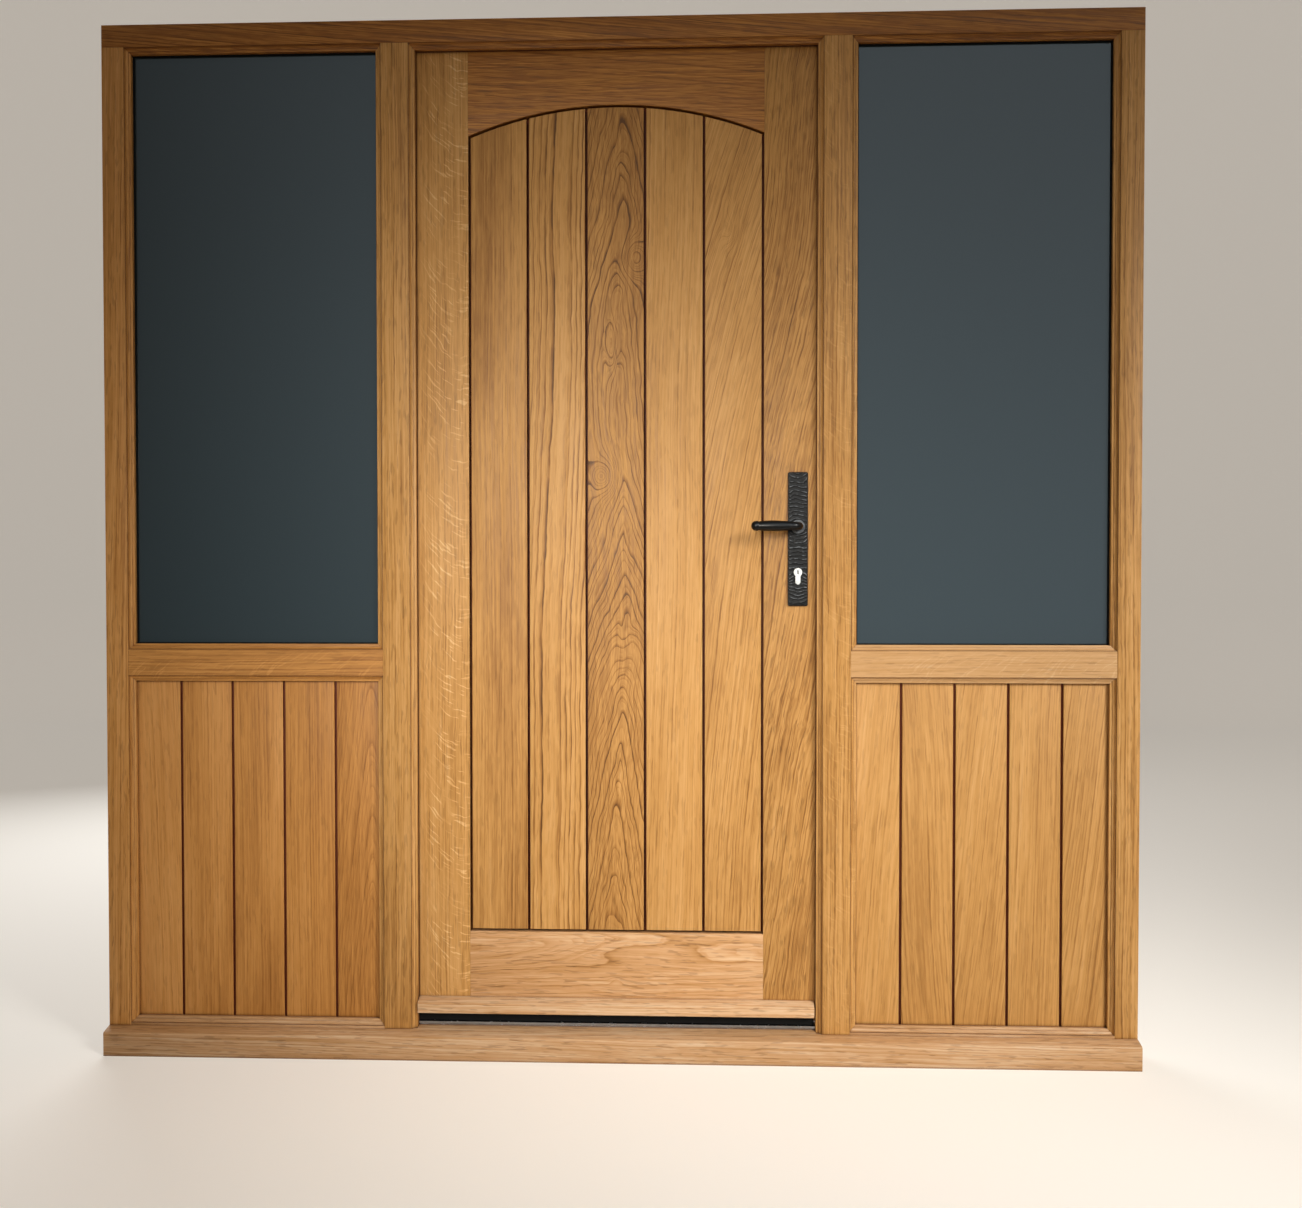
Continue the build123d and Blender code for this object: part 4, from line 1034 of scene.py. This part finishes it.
def hammeredPair():
    face = hammeredFace
    skin = hammeredSkin()
    middle = face["middle"][0]
    leg, foot = face["keyLeg"]
    for radius, height in ((face["bossRadius"], face["bossHeight"]), (face["keyRadius"], face["keyHeight"])):
        bpy.ops.mesh.primitive_cylinder_add(
            vertices=face["cutterSides"],
            radius=radius,
            depth=face["cutterDepth"],
            location=(middle, face["outerFront"], height),
            rotation=upright,
        )
        applyPlace()
        cutter = bpy.context.object
        for vertex in cutter.data.vertices:  # the lock cylinder's hole has a leg down to its foot
            if radius == face["keyRadius"] and vertex.co.z < height and abs(vertex.co.x - middle) < leg:
                vertex.co.z = height - foot + abs(vertex.co.x - middle) * face["keyFootRound"]
        cutAway(skin, cutter)
    pick(skin)
    bpy.ops.object.mode_set(mode="EDIT")
    bpy.ops.mesh.select_mode(type="EDGE")
    bpy.ops.mesh.select_all(action="DESELECT")
    bpy.ops.mesh.select_non_manifold()
    bpy.ops.mesh.fill_holes(sides=face["gapSides"])  # hair-thin gaps that a cut can leave
    bpy.ops.object.mode_set(mode="OBJECT")
    bpy.ops.object.shade_smooth_by_angle(angle=math.radians(face["shadeAngle"]))
    bpy.ops.object.duplicate()
    inner = bpy.context.object
    inner.name = inner.data.name = "hammered_face_inner"
    for vertex in inner.data.vertices:  # mirrored through the leaf
        vertex.co.y = 2 * face["doorMiddle"] - vertex.co.y
    turnFacesOutwards()
    forged = forgedMaterial()
    for name in ("outer_backplate", "inner_backplate"):
        dress(nodes[name], forged)
    for piece in (skin, inner):
        dress(piece, forged)
        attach(piece, "leaf")


hammeredPair()
print("backplates hammered")


# Wards inside the keyway: a thin zigzag bar just behind the plug's face, near black as painted shade inside the
# keyhole
keyway = {
    "middle": (0.3685, 0.988),
    "halfWidth": 0.0010,
    "halfHeight": 0.0038,
    "rows": 8,
    "step": 0.0003,
    "front": 0.0124,
    "thickness": 0.0034,
}
keywayShade = {"name": "keywayShade", "colour": "#0A0A0B", "roughness": 0.7}  # painted shade: near black and matt, for the dark inside the keyhole


def shadedWardBar():
    centreX, centreZ = keyway["middle"]
    size = (2 * keyway["halfWidth"] - keyway["step"], 2 * keyway["halfHeight"])
    place = (centreX, keyway["front"] + keyway["thickness"], centreZ)
    bar = thickGrid("keyway_wards_shaded", 2, keyway["rows"], size, place, -keyway["thickness"])
    for vertex in bar.data.vertices:  # every other row steps aside
        row = round((vertex.co.z - centreZ) / keyway["halfHeight"] * keyway["rows"] / 2)
        vertex.co.x += keyway["step"] / 2 * (1 if row % 2 else -1)
    dress(bar, plainFinish(**keywayShade))
    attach(bar, bodyOf["cylinder_plug"])


shadedWardBar()
print("keyway filled")


# Screws, one modelled and the rest copied: a flat countersunk head with a cross recess
screw = {
    "sides": 24,
    "proud": 0.00025,
    "sunk": 0.0012,
    # shares of the head's radius
    "rim": 0.12,
    "recessRadius": 0.55,
    "recessTaper": 0.6,
    "waist": 0.24,  # how far the cross reaches half way between two arms
    "waistRound": 0.10,  # and how much further close to an arm
    "armAngle": 10,  # degrees to each side of an arm
    # shares of half the depth that is sunk
    "dome": 0.08,
    "recessDepth": 0.3,
}
hingeScrews = {
    "rows": ((-0.038, 0.0), (-0.0125, 0.012), (0.0125, 0.0), (0.038, 0.012)),  # up, and into the house
    "depth": 0.054,
    "radius": 0.0041,
    "sides": (("frame", 1, -0.422), ("leaf", -1, -0.419)),  # body, the way the screw looks, the plate's face
}
lockScrews = (  # name, body, slot, place, the way it looks, radius
    ("screw_strike_0", "frame", "lock_steel", (0.422, 0.048, 0.9975), (-1, 0, 0), 0.0036),
    ("screw_strike_1", "frame", "lock_steel", (0.422, 0.048, 1.127), (-1, 0, 0), 0.0036),
    ("screw_faceplate_0", "leaf", "lock_steel", (0.419, 0.048, 0.934), (1, 0, 0), 0.0036),
    ("screw_faceplate_1", "leaf", "lock_steel", (0.419, 0.048, 1.151), (1, 0, 0), 0.0036),
    ("screw_cylinder", "leaf", "lock_steel", (0.419, 0.048, 0.980), (1, 0, 0), 0.0030),
    ("screw_backplate_0", "leaf", "black_iron", (0.3685, 0.0806, 0.930), (0, 1, 0), 0.0036),
    ("screw_backplate_1", "leaf", "black_iron", (0.3685, 0.0806, 1.180), (0, 1, 0), 0.0036),
)


def screwHead():
    bpy.ops.object.select_all(action="DESELECT")
    bpy.ops.mesh.primitive_cylinder_add(vertices=screw["sides"], radius=1.0, depth=2.0, location=(0, 0, -1))
    head = bpy.context.object
    applyPlace()
    bpy.ops.object.mode_set(mode="EDIT")
    bpy.ops.mesh.select_all(action="DESELECT")
    mesh = bmesh.from_edit_mesh(head.data)
    for face in mesh.faces:
        face.select = face.normal.z > 0.9
    bmesh.update_edit_mesh(head.data)
    bpy.ops.mesh.inset(thickness=screw["rim"])
    bpy.ops.transform.translate(value=(0, 0, screw["dome"]))
    bpy.ops.mesh.inset(thickness=1 - screw["rim"] - screw["recessRadius"])
    mesh = bmesh.from_edit_mesh(head.data)
    for vertex in mesh.verts:  # pulled in between the four arms of the cross
        angle = math.degrees(math.atan2(vertex.co.y, vertex.co.x)) % 90
        if vertex.select and screw["armAngle"] < angle < 90 - screw["armAngle"]:
            off = min(angle, 90 - angle) / 45
            vertex.co.xy = vertex.co.xy.normalized() * (screw["waist"] + screw["waistRound"] * (1 - off))
    bmesh.update_edit_mesh(head.data)
    bpy.ops.mesh.extrude_region_move(TRANSFORM_OT_translate={"value": (0, 0, -screw["recessDepth"])})
    bpy.ops.transform.resize(value=(screw["recessTaper"], screw["recessTaper"], 1))
    bpy.ops.object.mode_set(mode="OBJECT")
    return head


def screwPlaces():
    places = []
    for name in ("lower", "middle", "upper"):
        for body, facing, plane in hingeScrews["sides"]:
            low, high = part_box(f"{name}_{body}_hinge")
            centre = (low.z + high.z) / 2
            for row, (rise, inward) in enumerate(hingeScrews["rows"]):
                spot = (plane, hingeScrews["depth"] + inward, centre + rise)
                label = f"screw_{name}_{body}_{row}"
                places.append((label, body, "hinge_steel", spot, (facing, 0, 0), hingeScrews["radius"]))
    return [*places, *lockScrews]


def fixScrews():
    pattern = screwHead()
    for name, body, slot, spot, facing, radius in screwPlaces():
        head = bpy.data.objects.new(name, pattern.data.copy())
        head.data.name = name
        bpy.context.scene.collection.objects.link(head)
        turn = Vector(facing).to_track_quat("Z", "Y").to_matrix().to_4x4()
        lift = Vector(facing) * screw["proud"]
        size = Matrix.Diagonal((radius, radius, screw["sunk"] / 2, 1))
        head.data.transform(Matrix.Translation(Vector(spot) + lift) @ turn @ size)
        dress(head, finishes[slot])
        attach(head, body)
    bpy.data.objects.remove(pattern)


fixScrews()
print("screws set")
